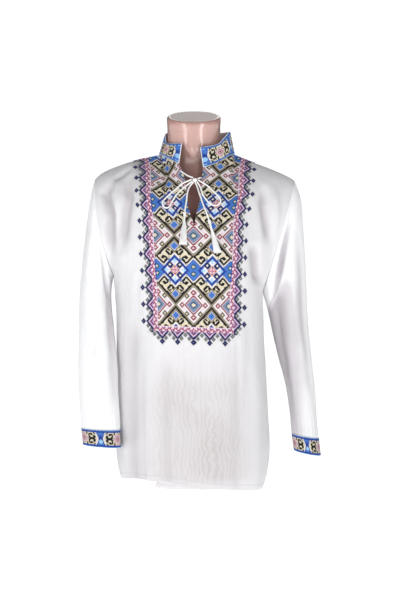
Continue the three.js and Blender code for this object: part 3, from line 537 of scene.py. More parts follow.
def upper_point(panel, across, t, side):
    """A point above the armpits before any folds: t is 0 at armpit level and 1 at the top edge."""
    front = panel == "front"
    full = girth(panel, side)
    share = abs(across) / full
    below = body_point(angle_at(panel, across), 1)
    tip = abs(ARMHOLES[side]["tip"][0])
    sign = -1 if side == "right" else 1
    beyond = clamp((abs(across) - PANEL) / (full - PANEL))
    closed_x = sign * lerp(min(abs(across), PANEL), tip, beyond)
    closed = top_point(panel, closed_x)
    opened = closed
    if front:
        opened = top_point(panel, closed_x + slit_shift(side, across, 1))
    opening = ease((t - SLIT_AT) / (1 - SLIT_AT)) if front else 0
    top = Vector((closed_x, lerp(closed.y, opened.y, opening), lerp(closed.z, opened.z, opening)))
    p = below.lerp(top, t)

    turn = lerp(math.pi, 0, t) * (1 if front else -1)
    pit = body_point(0 if side == "right" else math.pi, 1)
    edge = armhole_point(side, turn) - pit.lerp(armhole_point(side, 0), t)
    p += edge * share**2.2
    swell = math.sin(math.pi * t) * (-CHEST_SWELL if front else BACK_SWELL)
    roll = ((1 - t**ROLL_RISE) ** ROLL_TURN - (1 - t)) * (below.y - closed.y)
    shoulder = ease((abs(closed_x - NECK["x"]) / NECK["wide"] - 0.5) / 0.7)
    p.y += lerp(swell, roll, shoulder) * (1 - share**3)
    if front:
        p.x += slit_shift(side, across, t)
    return p


def panel_point(panel, across, level, side):
    """A point of the front or back: level 0 is the hem, 1 is at the armpit and 2 is the top edge."""
    if level > 1:
        return upper_point(panel, across, min(level - 1, 0.99999), side)
    return body_point(angle_at(panel, across), level)


def path_depth(folds, x, z):
    """How far all of the folds together push the cloth in at a place."""
    depth = 0.0
    for path, width, deep in folds:
        low, high = path[-1][1], path[0][1]
        if not low - 3 * width < z < high + 3 * width:
            continue
        best, along = 1e9, 0.0
        for i in range(len(path) - 1):
            (ax, az), (bx, bz) = path[i], path[i + 1]
            dx, dz = bx - ax, bz - az
            t = clamp(((x - ax) * dx + (z - az) * dz) / (dx * dx + dz * dz))
            off = math.hypot(x - ax - t * dx, z - az - t * dz)
            if off < best:
                best, along = off, (i + t) / (len(path) - 1)
        if best > 3 * width:
            continue
        fade = ease(along / 0.3) * (1 if low < 20 else ease((1 - along) / 0.3))
        depth += deep * bump(best / width) * fade
    return depth


def crumple(p, size, stretch=0.45):
    """Soft unevenness of worn linen, longer up and down than across, from -1 to 1."""
    return noise.fractal(Vector((p.x / size, p.y / size, p.z * stretch / size)), 0.9, 2.1, 3)


def panel_relief(panel, p, across, level, side):
    """How far the cloth lies inside its smooth shape: folds, creases, sewn seams and the hem."""
    full = girth(panel, side)
    folds, creases = (FRONT_FOLDS, FRONT_CREASES) if panel == "front" else (BACK_FOLDS, BACK_CREASES)
    keep = ease((full - abs(across)) / 30) * ease((2 - level) * 9)
    depth = keep * (path_depth(folds, p.x, p.z) + path_depth(creases, p.x, p.z))
    stiff = 0.35 if panel == "front" and abs(across) < PANEL and p.z > 330 else 1
    depth += keep * stiff * 1.5 * crumple(p, 46)
    depth += 0.7 * bump((full - abs(across)) / 2.5)
    if level > 1.5 and abs(p.x - NECK["x"]) > NECK["wide"]:
        depth += 0.7 * bump((2 - level) * 280 / 3)
    return depth


# ---- Mesh making -----------------------------------------------------------------------------------
def sheet_bmesh(columns, rows, place, wrap=False, flip=False):
    """A grid of cells laid on a surface. place turns a column and a row into a point and its cloth place."""
    bm = bmesh.new()
    bmesh.ops.create_grid(bm, x_segments=columns, y_segments=rows, size=0.5)
    bm.verts.index_update()
    cloth = bm.loops.layers.uv.new("cloth")
    cell = bm.verts.layers.int.new("cell")
    at = {}
    for vert in bm.verts:
        vert[cell] = vert.index
        column, row = vert.index % (columns + 1), vert.index // (columns + 1)
        point, spot = place(column, row)
        vert.co = point
        at[vert] = spot
    for face in bm.faces:
        for loop in face.loops:
            loop[cloth].uv = (at[loop.vert][0] * MM, at[loop.vert][1] * MM)
    if flip:
        bmesh.ops.reverse_faces(bm, faces=bm.faces[:])
    if wrap:
        edge = [v for v in bm.verts if v.index % (columns + 1) in (0, columns)]
        bmesh.ops.remove_doubles(bm, verts=edge, dist=0.01)
    bm.normal_update()
    return bm


def push_in(bm, relief, tone=None):
    """Moves each vertex in by its relief, in millimetres, and keeps that, with any painted shade tone added,
    as "fold", which the linen's painted fold shade reads.
    """
    fold = bm.verts.layers.float.new("fold")
    cell = bm.verts.layers.int["cell"]
    moves = []
    for vert in bm.verts:
        depth = relief(vert, vert[cell])
        vert[fold] = depth + (tone(vert[cell]) if tone else 0)
        moves.append((vert, vert.normal * -depth))
    for vert, move in moves:
        vert.co += move
    bm.normal_update()


def finish_piece(bm, name, finish, smooth=True):
    """Turns a bmesh in millimetres into an object at the origin that rides on the root body."""
    bmesh.ops.scale(bm, vec=(MM, MM, MM), verts=bm.verts[:])
    mesh = bpy.data.meshes.new(name)
    bm.to_mesh(mesh)
    bm.free()
    for polygon in mesh.polygons:
        polygon.use_smooth = smooth
    piece = bpy.data.objects.new(name, mesh)
    bpy.context.scene.collection.objects.link(piece)
    mesh.materials.append(finish)
    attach(piece, "root")
    return piece


def thicken(piece, thickness):
    """Gives a sheet its thickness, inwards from its outer face."""
    wall = piece.modifiers.new("Cloth Thickness", "SOLIDIFY")
    wall.thickness = thickness
    wall.offset = -1
    wall.use_even_offset = False


def smooth_line(points, spacing):
    """Points at an even spacing on a smooth curve through a route, from its first point to its last."""
    knots = [Vector(p) for p in points]
    times = [0.0]
    for a, b in zip(knots, knots[1:]):
        times.append(times[-1] + math.sqrt((b - a).length))
    first = knots[0] * 2 - knots[1]
    last = knots[-1] * 2 - knots[-2]
    knots = [first, *knots, last]
    times = [-times[1], *times, times[-1] * 2 - times[-2]]
    fine = []
    for i in range(1, len(knots) - 2):
        a, b, c, d = knots[i - 1 : i + 3]
        ta, tb, tc, td = times[i - 1 : i + 3]
        for k in range(24):
            t = lerp(tb, tc, k / 24)
            share = (t - tb) / (tc - tb)
            ab, bc, cd = a.lerp(b, (t - ta) / (tb - ta)), b.lerp(c, share), c.lerp(d, (t - tc) / (td - tc))
            fine.append(ab.lerp(bc, (t - ta) / (tc - ta)).lerp(bc.lerp(cd, (t - tb) / (td - tb)), share))
    fine.append(knots[-2])
    lengths = [0.0]
    for a, b in zip(fine, fine[1:]):
        lengths.append(lengths[-1] + (b - a).length)
    count = max(2, round(lengths[-1] / spacing))
    line = []
    for k in range(count + 1):
        wanted = lengths[-1] * k / count
        i = min(max(bisect.bisect_right(lengths, wanted) - 1, 0), len(lengths) - 2)
        line.append(fine[i].lerp(fine[i + 1], (wanted - lengths[i]) / (lengths[i + 1] - lengths[i])))
    return line, lengths[-1]


def frames_along(line):
    """For each point of a line, two directions square to it that turn as little as possible."""
    directions = [
        (line[min(i + 1, len(line) - 1)] - line[max(i - 1, 0)]).normalized() for i in range(len(line))
    ]
    side = directions[0].orthogonal().normalized()
    pairs = []
    for direction in directions:
        side = (side - direction * side.dot(direction)).normalized()
        pairs.append((side, direction.cross(side)))
    return pairs


def rope_bmesh(line, radius, sides, lobes, turn_length, deep=0.16):
    """A twisted rope along a line: a lobed section that turns as it goes, closed at both ends."""
    pairs = frames_along(line)
    travelled = [0.0]
    for a, b in zip(line, line[1:]):
        travelled.append(travelled[-1] + (b - a).length)

    def place(column, row):
        angle = TAU * (column % sides) / sides
        twist = TAU * travelled[row] / turn_length
        reach = radius * (1 - deep * (0.5 + 0.5 * math.cos(lobes * (angle - twist))))
        across, up = pairs[row]
        point = line[row] + across * (reach * math.cos(angle)) + up * (reach * math.sin(angle))
        return point, (TAU * radius * column / sides, travelled[row])

    bm = sheet_bmesh(sides, len(line) - 1, place, wrap=True)
    bmesh.ops.holes_fill(bm, edges=[edge for edge in bm.edges if edge.is_boundary], sides=0)
    bmesh.ops.recalc_face_normals(bm, faces=bm.faces[:])
    return bm


def join_bmesh(bm, other):
    """Adds a second bmesh to the first one and frees it."""
    kept = bpy.data.meshes.new("part")
    other.to_mesh(kept)
    other.free()
    bm.from_mesh(kept)
    bpy.data.meshes.remove(kept)


# ---- Materials -------------------------------------------------------------------------------------
class Value:
    """A node's output on which Python's operators do shader maths."""

    def __init__(self, finish, socket):
        self.finish, self.socket = finish, socket

    def maths(self, operation, *values):
        names = dict(enumerate(values))
        return self.finish.node("ShaderNodeMath", {"operation": operation}, names)

    def __add__(self, other):
        return self.maths("ADD", self, other)

    def __sub__(self, other):
        return self.maths("SUBTRACT", self, other)

    def __rsub__(self, other):
        return self.maths("SUBTRACT", other, self)

    def __mul__(self, other):
        return self.maths("MULTIPLY", self, other)

    __radd__ = __add__
    __rmul__ = __mul__

    def between(self, low, high):
        """0 below low, 1 above high and smooth from one to the other."""
        sockets = {"Value": self, "From Min": low, "From Max": high}
        return self.finish.node("ShaderNodeMapRange", {"interpolation_type": "SMOOTHSTEP"}, sockets)

    def sine(self):
        return self.maths("SINE", self)

    def absolute(self):
        return self.maths("ABSOLUTE", self)


class Finish:
    """A procedural material while it is being made."""

    def __init__(self, name, **constants):
        self.material = bpy.data.materials.new(name)
        self.material.use_nodes = True
        self.tree = self.material.node_tree
        self.shader = self.tree.nodes["Principled BSDF"]
        for socket, value in constants.items():
            self.shader.inputs[socket.replace("_", " ")].default_value = value

    def node(self, kind, settings, inputs, output=0):
        node = self.tree.nodes.new(kind)
        for name, value in settings.items():
            setattr(node, name, value)
        for name, value in inputs.items():
            self.put(node.inputs[name], value)
        return Value(self, node.outputs[output])

    def put(self, socket, value):
        if isinstance(value, Value):
            self.tree.links.new(value.socket, socket)
        elif socket.type == "RGBA" and len(value) == 3:
            socket.default_value = (*value, 1)
        else:
            socket.default_value = value

    def feed(self, **sockets):
        for name, value in sockets.items():
            self.put(self.shader.inputs[name.replace("_", " ")], value)

    def place(self):
        return self.node("ShaderNodeTexCoord", {}, {}, "Object")

    def cloth(self):
        return self.node("ShaderNodeUVMap", {"uv_map": "cloth"}, {})

    def parts(self, vector):
        return [self.node("ShaderNodeSeparateXYZ", {}, {0: vector}, i) for i in range(3)]

    def noise(self, vector, scale, detail=2.0, rough=0.5):
        inputs = {"Vector": vector, "Scale": scale, "Detail": detail, "Roughness": rough}
        return self.node("ShaderNodeTexNoise", {}, inputs)

    def mix(self, factor, a, b):
        return self.node("ShaderNodeMix", {"data_type": "RGBA"}, {0: factor, 6: a, 7: b}, 2)

    def scaled(self, vector, by):
        return self.node("ShaderNodeVectorMath", {"operation": "MULTIPLY"}, {0: vector, 1: by})

    def bump(self, height, distance, strength=1.0):
        inputs = {"Height": height, "Distance": distance, "Strength": strength}
        self.feed(Normal=self.node("ShaderNodeBump", {}, inputs))


def weave_height(finish, pitch):
    """Height of a plain weave from 0 to 1: warp and weft threads pass over each other in turn."""
    u, v, _ = finish.parts(finish.cloth())
    turn = math.pi / pitch
    warp = (u * turn).sine()
    weft = (v * turn).sine()
    over = ((u * turn * 0.5).sine() * (v * turn * 0.5).sine()) * 0.5 + 0.5
    return warp.absolute() * over + weft.absolute() * (1 - over)


def linen_finish(name="bleached linen", colour=None):
    cloth = bpy.context.scene.shirt_cloth
    colour = colour or cloth.colour
    finish = Finish(name, Roughness=0.88, Sheen_Weight=0.12, Sheen_Roughness=0.5)
    place = finish.place()
    x, y, z = finish.parts(place)
    _, drop, _ = finish.parts(finish.cloth())
    slub = finish.noise(finish.scaled(place, (420, 420, 34)), 1.0, 2, 0.6)
    weft = finish.noise(finish.scaled(place, (34, 34, 420)), 1.0, 2, 0.6)
    streak = finish.noise(finish.scaled(place, (150, 150, 9)), 1.0, 3, 0.6)
    thread = slub * 0.5 + weft * 0.5
    tone = finish.noise(place, 9.0, 3, 0.5)
    # The form shows faintly where the front hangs against it; painted waves of shade run through that tint.
    near = 1 - (x - 0.01).absolute().between(0.04, 0.15)
    near = near * (1 - z.between(0.16, 0.36)) * z.between(0.015, 0.04)
    front = 1 - y.between(-0.12, -0.02)
    near = near * front * (tone.between(0.35, 0.7) * 0.5 + 0.5)
    # Painted shade: fine vertical waves, standing for the shade of small crinkles, vary the show-through
    # tint.
    painted_crinkle_shade = (x * 560 + finish.noise(place, 24.0, 2) * 22 + tone * 16).sine()
    base = finish.mix(thread.between(0.3, 0.75) * 0.20, colour, tuple(0.8 * c for c in colour))
    base = finish.mix(streak.between(0.45, 0.75) * 0.16, base, tuple(0.8 * c for c in colour))
    shaded = finish.mix(tone.between(0.3, 0.75) * 0.06, base, tuple(0.9 * c for c in colour))
    # Painted shade: the linen darkens with the depth of its fold, and further deep in a fold.
    fold = finish.node("ShaderNodeAttribute", {"attribute_name": "fold"}, {}, "Fac")
    shaded = finish.mix(fold.between(0.4, 11) * 0.8, shaded, cloth.hollow)
    shaded = finish.mix(fold.between(11, 24) * 0.7, shaded, tuple(0.7 * c for c in cloth.hollow))
    # The hem's stitched line is drawn in the same grey as the painted fold shade.
    hem = 1 - (drop - cloth.hem).absolute().between(0.0006, 0.0018)
    shaded = finish.mix(hem * 0.35, shaded, cloth.hollow)
    finish.feed(Base_Color=finish.mix(near * (painted_crinkle_shade.between(-0.6, 1) * 0.35 + 0.65), shaded, cloth.warmth))
    height = weave_height(finish, cloth.thread_pitch) * 0.7 + thread * 0.6 + streak * 0.4 - hem * 1.5
    finish.bump(height, 0.00012, 0.5)
    return finish.material


def shade_painted_linen_finish():
    """Linen of the front and back, which lie over the form, painted greyer than the sleeves' linen as shade.
    """
    return linen_finish("linen with painted shade", bpy.context.scene.shirt_cloth.shade_painted_linen)


def stitch_finish():
    finish = Finish("cross-stitch thread", Roughness=0.75, Specular_IOR_Level=0.25)
    thread = finish.node("ShaderNodeAttribute", {"attribute_name": "thread"}, {})
    u, v, _ = finish.parts(finish.cloth())
    strand = (((u + v) * 9000).sine() * ((u - v) * 9000).sine()) * 0.5 + 0.5
    fleck = finish.noise(finish.place(), 900.0, 1)
    colour = finish.mix(strand * 0.25, thread, finish.mix(0.35, thread, (0.02, 0.02, 0.03)))
    finish.feed(Base_Color=finish.mix(fleck.between(0.55, 0.8) * 0.03, colour, (0.9, 0.9, 0.9)))
    finish.bump(strand * 0.6 + fleck * 0.4, 0.0001, 0.5)
    return finish.material


def cotton_finish():
    tie = bpy.context.scene.shirt_tie
    finish = Finish("cotton cord", Roughness=0.8, Sheen_Weight=0.2, Sheen_Roughness=0.5)
    place = finish.place()
    fibre = finish.noise(finish.scaled(place, (900, 900, 260)), 1.0, 2)
    colour = finish.mix(fibre.between(0.3, 0.8) * 0.3, tie.colour, tuple(0.82 * c for c in tie.colour))
    finish.feed(Base_Color=colour)
    finish.bump(fibre, 0.00015, 0.6)
    return finish.material


def form_finish():
    form = bpy.context.scene.shirt_form
    finish = Finish("glossy moulded torso", Coat_Roughness=0.08)
    place = finish.place()
    x, _, z = finish.parts(place)
    mottle = finish.noise(place, 14.0, 3)
    skin = finish.mix(mottle.between(0.3, 0.75) * 0.25, form.colour, tuple(0.86 * c for c in form.colour))
    # Painted shade: below the collar's rim only the V between the tendons stays pale; the hollow round it is
    # painted darker, down into the slit.
    inside = 1 - ((x + 0.004).absolute() - (z - 0.735) * 0.36).between(-0.002, 0.005)
    pale = inside * z.between(0.735, 0.765)
    outside_painted_shade = pale.maths("MAXIMUM", pale, z.between(0.768, 0.780))
    # Painted shade: the skin darkens downwards into the neck slit, to the hollow colour.
    deep = finish.mix(z.between(0.66, 0.745), form.hollow, tuple(0.56 * c for c in form.colour))
    # The foot is pale like the linen, so that what shows of it below the hem stands out less.
    lower = finish.mix(z.between(0.032, 0.036), form.foot, finish.mix(outside_painted_shade, deep, skin))
    finish.feed(Base_Color=lower, Coat_Weight=z.between(0.745, 0.785) * 0.95 + 0.05)
    finish.feed(Roughness=mottle.between(0.2, 0.8) * 0.08 + form.roughness)
    return finish.material


def cut_finish():
    finish = Finish("flat cut of the neck", Roughness=0.45)
    mottle = finish.noise(finish.place(), 40.0, 3)
    cut = bpy.context.scene.shirt_form.cut
    finish.feed(Base_Color=finish.mix(mottle.between(0.3, 0.7) * 0.3, cut, tuple(0.85 * c for c in cut)))
    finish.bump(mottle, 0.0003, 0.3)
    return finish.material


def floor_finish():
    finish = Finish("floor", Roughness=0.95, Emission_Strength=1.0)
    place = finish.place()
    grain = finish.noise(place, 60.0, 2)
    distance = finish.node("ShaderNodeVectorMath", {"operation": "LENGTH"}, {0: place}, "Value")
    # Painted light: the floor glows, 0.8 within 0.25 m of the shirt's middle as a painted shade round it,
    # rising to 1.0 from 0.9 m out.
    painted_glow_ramp = distance.between(0.25, 0.9)
    finish.feed(Emission_Color=finish.mix(painted_glow_ramp, (0.8, 0.8, 0.8), (1.0, 1.0, 1.0)))
    colour = bpy.context.scene.shirt_stage.floor
    finish.feed(Base_Color=finish.mix(grain * 0.04, colour, tuple(0.94 * c for c in colour)))
    return finish.material


MAKERS = {
    "linen": linen_finish,
    "shade_painted_linen": shade_painted_linen_finish,
    "stitch": stitch_finish,
    "cotton": cotton_finish,
    "form": form_finish,
    "cut": cut_finish,
    "floor": floor_finish,
}
FINISHES = {}


def finish_of(name):
    if name not in FINISHES:
        FINISHES[name] = MAKERS[name]()
    return FINISHES[name]


# ---- Cross-stitch charts ---------------------------------------------------------------------------
# A chart is a function from a stitch's column and row to the name of its thread, or to None for bare linen.
# The hooks between flower, blue ground and lattice. Columns run from the middle of the blue ground to the
# middle of the flower, and rows start 7 stitches from the flower's middle.
HOOKS = [
    ".......ccKKcc..........",
    "......cKKKKKcc.........",
    ".....cKKKKKKKcc........",
    "....cKKKccKKKKcc.......",
    "...cKKKcccKKKKKcc......",
    "..cKKKcccccKKKKccc.....",
    ".cKKKccKKKccKKKcccc....",
    "cKKKccKKKKKKKKccsccc...",
    "KKKccccKKKKKKccssccccc.",
    ".KKcccccKKKccccsccccccc",
    "..KKKccccccccccKKKKcccc",
    "...KKKKcccccccKKKKKKccc",
    "....KKKccccccKKKKcKKKcc",
    ".....KKKwwccKKKKccKKKKc",
    "......KKKwccKKKcccKKKKc",
    ".......KKKccKKcKKKcKKK.",
    "........KKKccKKKKccKK..",
    ".........KKKKcKKccKKK..",
    "..........KKKKccKKKK...",
    "...........KKKKKKKK....",
]
HOOKS_FROM = 7
CURL = [
    ".KKKKKKK.",
    "KKKKKKKKK",
    "KKKcccKKK",
    "KKKccccKK",
    "cKKcKKcKK",
    "cccKKKKKK",
    "KKccKKKKc",
    "KKKcccccc",
    "KKKKKcccK",
]
LETTERS = {"K": "black", "c": "cream", "s": "straw", "w": "white"}
REPEAT_WIDE, REPEAT_HIGH = 44, 78


def letter(tile, column, row):
    """The thread of one stitch of a small chart, or None outside it."""
    if 0 <= row < len(tile) and 0 <= column < len(tile[row]):
        return LETTERS.get(tile[row][column])
    return None


def flower(p, q):
    """The blue-rimmed flower, at distances across and up from its middle."""
    if p + q <= 6:
        return "cream" if p + q == 6 else "red" if p + q == 5 or p * q == 0 else "blush"
    square = abs(p - 6) + abs(q - 6)
    if square <= 3:
        return "white" if square <= 1 else "black"
    for m, n in ((p, q), (q, p)):
        far = abs(n - 9)
        if m + far <= 4:
            return "sky" if n >= 11 or m + far <= 1 else "white"
    if p + q <= 17:
        return "royal" if max(p, q) > 4 else "navy"
    return "steel"


def lozenge(a, b):
    """The pale lozenge with a brick red one inside it."""
    ring = a + b
    if ring <= 2:
        return "cream"
    if ring <= 4:
        return "teal"
    if ring <= 8:
        return "steel"
    for m, n in ((a, b), (b, a)):
        square = abs(m - 14) + n
        if square <= 3:
            return "brick" if square >= 2 else "blush"
    square = abs(a - 8) + abs(b - 10)
    if square <= 3:
        return "olive" if square >= 2 else "cream"
    if ring <= 11:
        return "brick" if ring >= 10 else "blush"
    return "blush" if ring in (15, 16) else "white"


def chest_field(i, j):
    """The ground pattern of the chest."""
    a = abs((i + REPEAT_WIDE // 2) % REPEAT_WIDE - REPEAT_WIDE // 2)
    b = abs((j + REPEAT_HIGH // 2) % REPEAT_HIGH - REPEAT_HIGH // 2)
    p, q = REPEAT_WIDE // 2 - a, REPEAT_HIGH // 2 - b
    if p + q <= 17 or max(abs(p - 7), abs(q - 12)) <= 1:
        return flower(p, q)
    if a + q <= 13:
        spot = a + abs(q - 4)
        if spot <= 3:
            return "cream" if spot <= 1 else "teal"
        if a + q >= 12:
            return "white" if a + q == 13 else "royal"
        return "royal" if q <= 1 and a > 5 else "blue"
    if p + q <= 19:
        return "white"
    ring = a + b
    if ring < 21:
        return lozenge(a, b)
    if ring < 25:
        return ("taupe", "straw", "taupe", "black")[ring - 21]
    square = p + abs(b - 12)
    if square <= 7:
        return "blue" if square <= 4 else "white" if square == 5 else "black" if square == 6 else "straw"
    return letter(HOOKS, a, q - HOOKS_FROM) or "black"


CHAIN_AT = 49  # column in the middle of the chain border
CHAIN_LOW = -28  # row in the middle of the chain across the bottom
CHEST_MIDDLE = 1  # stitches by which the pattern's middle stands to the right of the shirt's middle
TOOTH_HIGH, TOOTH_WIDE = 19, 20
CHEST_ROWS, CHEST_COLUMNS = (-46, 206), 72  # rows below and above row 0, and columns of one half
ROW_ZERO, ROW_ZERO_SLOPE = 413.8, -0.036  # height of row 0 at the middle, and its rise for each step in X


def chain(across, along):
    """The twisted chain border, at stitches from its middle line and along it."""
    step = (along + (4 if across > 0 else 0)) % 8
    if across == 0:
        return "rose" if along % 4 < 3 else "white"
    if step in (1, 2, 3) or (abs(across) == 1 and step == 4):
        return "white" if step == 2 else "blush"
    return ("lilac" if step > 5 else "mauve") if abs(across) == 2 else "rose"


def tooth(out, along, period, tall):
    """The pointed teeth outside a chain: out is counted from the chain, along runs beside it."""
    s = abs((along + period // 2) % period - period // 2)
    depth = tall - out - s
    if abs(out - 2 * tall + 5) + s <= 3:
        return "steel" if abs(out - 2 * tall + 5) + s == 0 else "navy"
    if depth >= 0:
        return ("navy", "navy", "navy", "lilac", "blush", "mauve", "mauve", "mauve", "lilac", "lilac")[depth]
    square = min(abs(out - 7) + abs(s - 5), abs(out - 3) + abs(s - period // 2))
    return "slate" if 1 <= square <= 2 else None


def chest_chart(i, j):
    """The whole chest: ground, chains at its sides and foot, and teeth outside them."""
    off = abs(i) - CHAIN_AT
    low = CHAIN_LOW - j
    if off <= 2 and low <= 2:
        if off >= -2:
            return chain(off, j)
        if low >= -2:
            return chain(low, i)
        if off == -3 or low == -3:
            beside_blue = REPEAT_HIGH / 3 < j % REPEAT_HIGH < REPEAT_HIGH * 2 / 3
            return "royal" if low < -3 and beside_blue else "blush"
        return chest_field(i, j)
    if off > 2 and low <= 4:
        return tooth(off - 3, j + 1, TOOTH_HIGH, 9)
    if off <= 1 or (off <= 3 and low <= 8):
        return tooth(low - 3, i, TOOTH_WIDE, 8)
    return None


def band_field(s, j, rows):
    """The ground pattern of the collar and cuffs, at stitches from the middle of a blue hourglass."""
    half = (rows - 1) / 2
    b = abs(j - half)
    rim = half - b
    ground = half * 0.76
    if rim < 1:
        return "sky" if (s + j) % 3 == 0 else "blue"
    if b > ground:
        if rim < 2 or b < ground + 1:
            return "royal"
        return "sky" if s % 5 == 0 else "blue"
    if s <= 2 + 3 * b / ground:
        if s + abs(j - rows * 0.32) <= 3:
            return "sky"
        return "royal" if s + b <= 4 or s > 1 + 3 * b / ground else "blue"
    if s <= 3.4 + 3 * b / ground:
        return "white"
    thread = letter(CURL, s - 6, int(b * 9 / (ground + 1)))
    if thread:
        return thread
    star = 22 - s + b
    if star <= 8:
        return ("brick", "brick", "white", "rose", "rose", "white", "blush", "brick", "white")[int(star)]
    return "black" if 16 <= s <= 17 and b > ground * 0.55 else "cream"


BAND_REPEAT = 44


def cuff_chart(i, j, rows):
    """The cuff: its blue hourglass stands in the middle of the front."""
    return band_field(abs((i + BAND_REPEAT // 2) % BAND_REPEAT - BAND_REPEAT // 2), j, rows)


def collar_chart(from_end, j, rows):
    """The collar: the pattern starts with blue at each end."""
    return cuff_chart(max(0, from_end - 4), j, rows)


# ---- Laying stitches on cloth ----------------------------------------------------------------------
def thread_colours():
    stitch = bpy.context.scene.shirt_stitch
    sizes = ("rna_type", "name", "wide", "high", "lift")
    names = [name for name in stitch.bl_rna.properties.keys() if name not in sizes]
    return {name: (*getattr(stitch, name), 1.0) for name in names}


def stitched(bm, columns, chart, colours, lift):
    """Keeps the cells that the chart stitches, colours them and raises the middle of each to a point."""
    layer = bm.loops.layers.float_color.new("thread")
    bm.faces.index_update()
    bare = []
    for face in bm.faces:
        name = chart(face.index % columns, face.index // columns)
        if name is None:
            bare.append(face)
            continue
        for loop in face.loops:
            loop[layer] = colours[name]
    bmesh.ops.delete(bm, geom=bare, context="FACES")
    for vert in bm.verts:
        vert.co += vert.normal * 0.6
    bmesh.ops.poke(bm, faces=bm.faces[:], offset=lift, center_mode="MEAN")


# ---- Operators -------------------------------------------------------------------------------------
class ShirtOperator:
    """What all of the operators share."""

    bl_options = {"REGISTER", "UNDO"}

    def execute(self, context):
        self.build(context)
        return {"FINISHED"}


class SHIRT_OT_stage(ShirtOperator, bpy.types.Operator):
    """Make the camera, the floor and the soft light"""

    bl_idname = "shirt.stage"
    bl_label = "Camera, Floor and Light"

    def build(self, context):
        stage = context.scene.shirt_stage
        data = bpy.data.cameras.new("view")
        data.lens = stage.focal
        data.sensor_width = data.sensor_height = 36
        data.clip_end = 50
        camera = bpy.data.objects.new("view", data)
        camera.location = (stage.sideways, -stage.distance, stage.height)
        camera.rotation_euler = (math.pi / 2, 0, 0)
        context.scene.collection.objects.link(camera)
        context.scene.camera = camera
        context.scene.view_settings.view_transform = "Standard"

        world = bpy.data.worlds.new("studio")
        world.use_nodes = True
        background = world.node_tree.nodes["Background"]
        background.inputs["Color"].default_value = (0.97, 0.98, 1.0, 1)
        # The surround looks white, while its light on the shirt stays faint.
        rays = world.node_tree.nodes.new("ShaderNodeLightPath")
        strength = world.node_tree.nodes.new("ShaderNodeMapRange")
        strength.inputs["To Min"].default_value = stage.world
        strength.inputs["To Max"].default_value = 1.1
        world.node_tree.links.new(rays.outputs["Is Camera Ray"], strength.inputs["Value"])
        world.node_tree.links.new(strength.outputs["Result"], background.inputs["Strength"])
        context.scene.world = world

        for name, energy, size, spot, aim in (
            ("key", stage.key, (1.6, 1.6), (-2.3, -1.5, 1.5), (0, 0, 0.42)),
            ("fill", stage.fill, (2.0, 2.0), (1.2, -3.0, 0.7), (0, 0, 0.42)),
            ("rear", stage.rear, (1.8, 1.8), (0.4, 2.2, 2.7), (0, 0, 0.5)),
            ("strip at the right", stage.strip, (0.34, 1.5), (-0.70, -1.32, 0.72), (0, 0, 0.72)),
            ("strip at the left", stage.strip, (0.26, 1.5), (0.56, -1.39, 0.72), (0, 0, 0.72)),
        ):
            lamp = bpy.data.lights.new(name, "AREA")
            lamp.energy = energy
            lamp.shape = "RECTANGLE"
            lamp.size, lamp.size_y = size
            light = bpy.data.objects.new(name, lamp)
            light.location = spot
            light.rotation_euler = (Vector(aim) - Vector(spot)).to_track_quat("-Z", "Y").to_euler()
            context.scene.collection.objects.link(light)

        bm = bmesh.new()
        bmesh.ops.create_circle(bm, cap_ends=True, segments=96, radius=18)
        mesh = bpy.data.meshes.new("floor")
        bm.to_mesh(mesh)
        bm.free()
        mesh.materials.append(finish_of("floor"))
        floor = bpy.data.objects.new("floor", mesh)
        context.scene.collection.objects.link(floor)


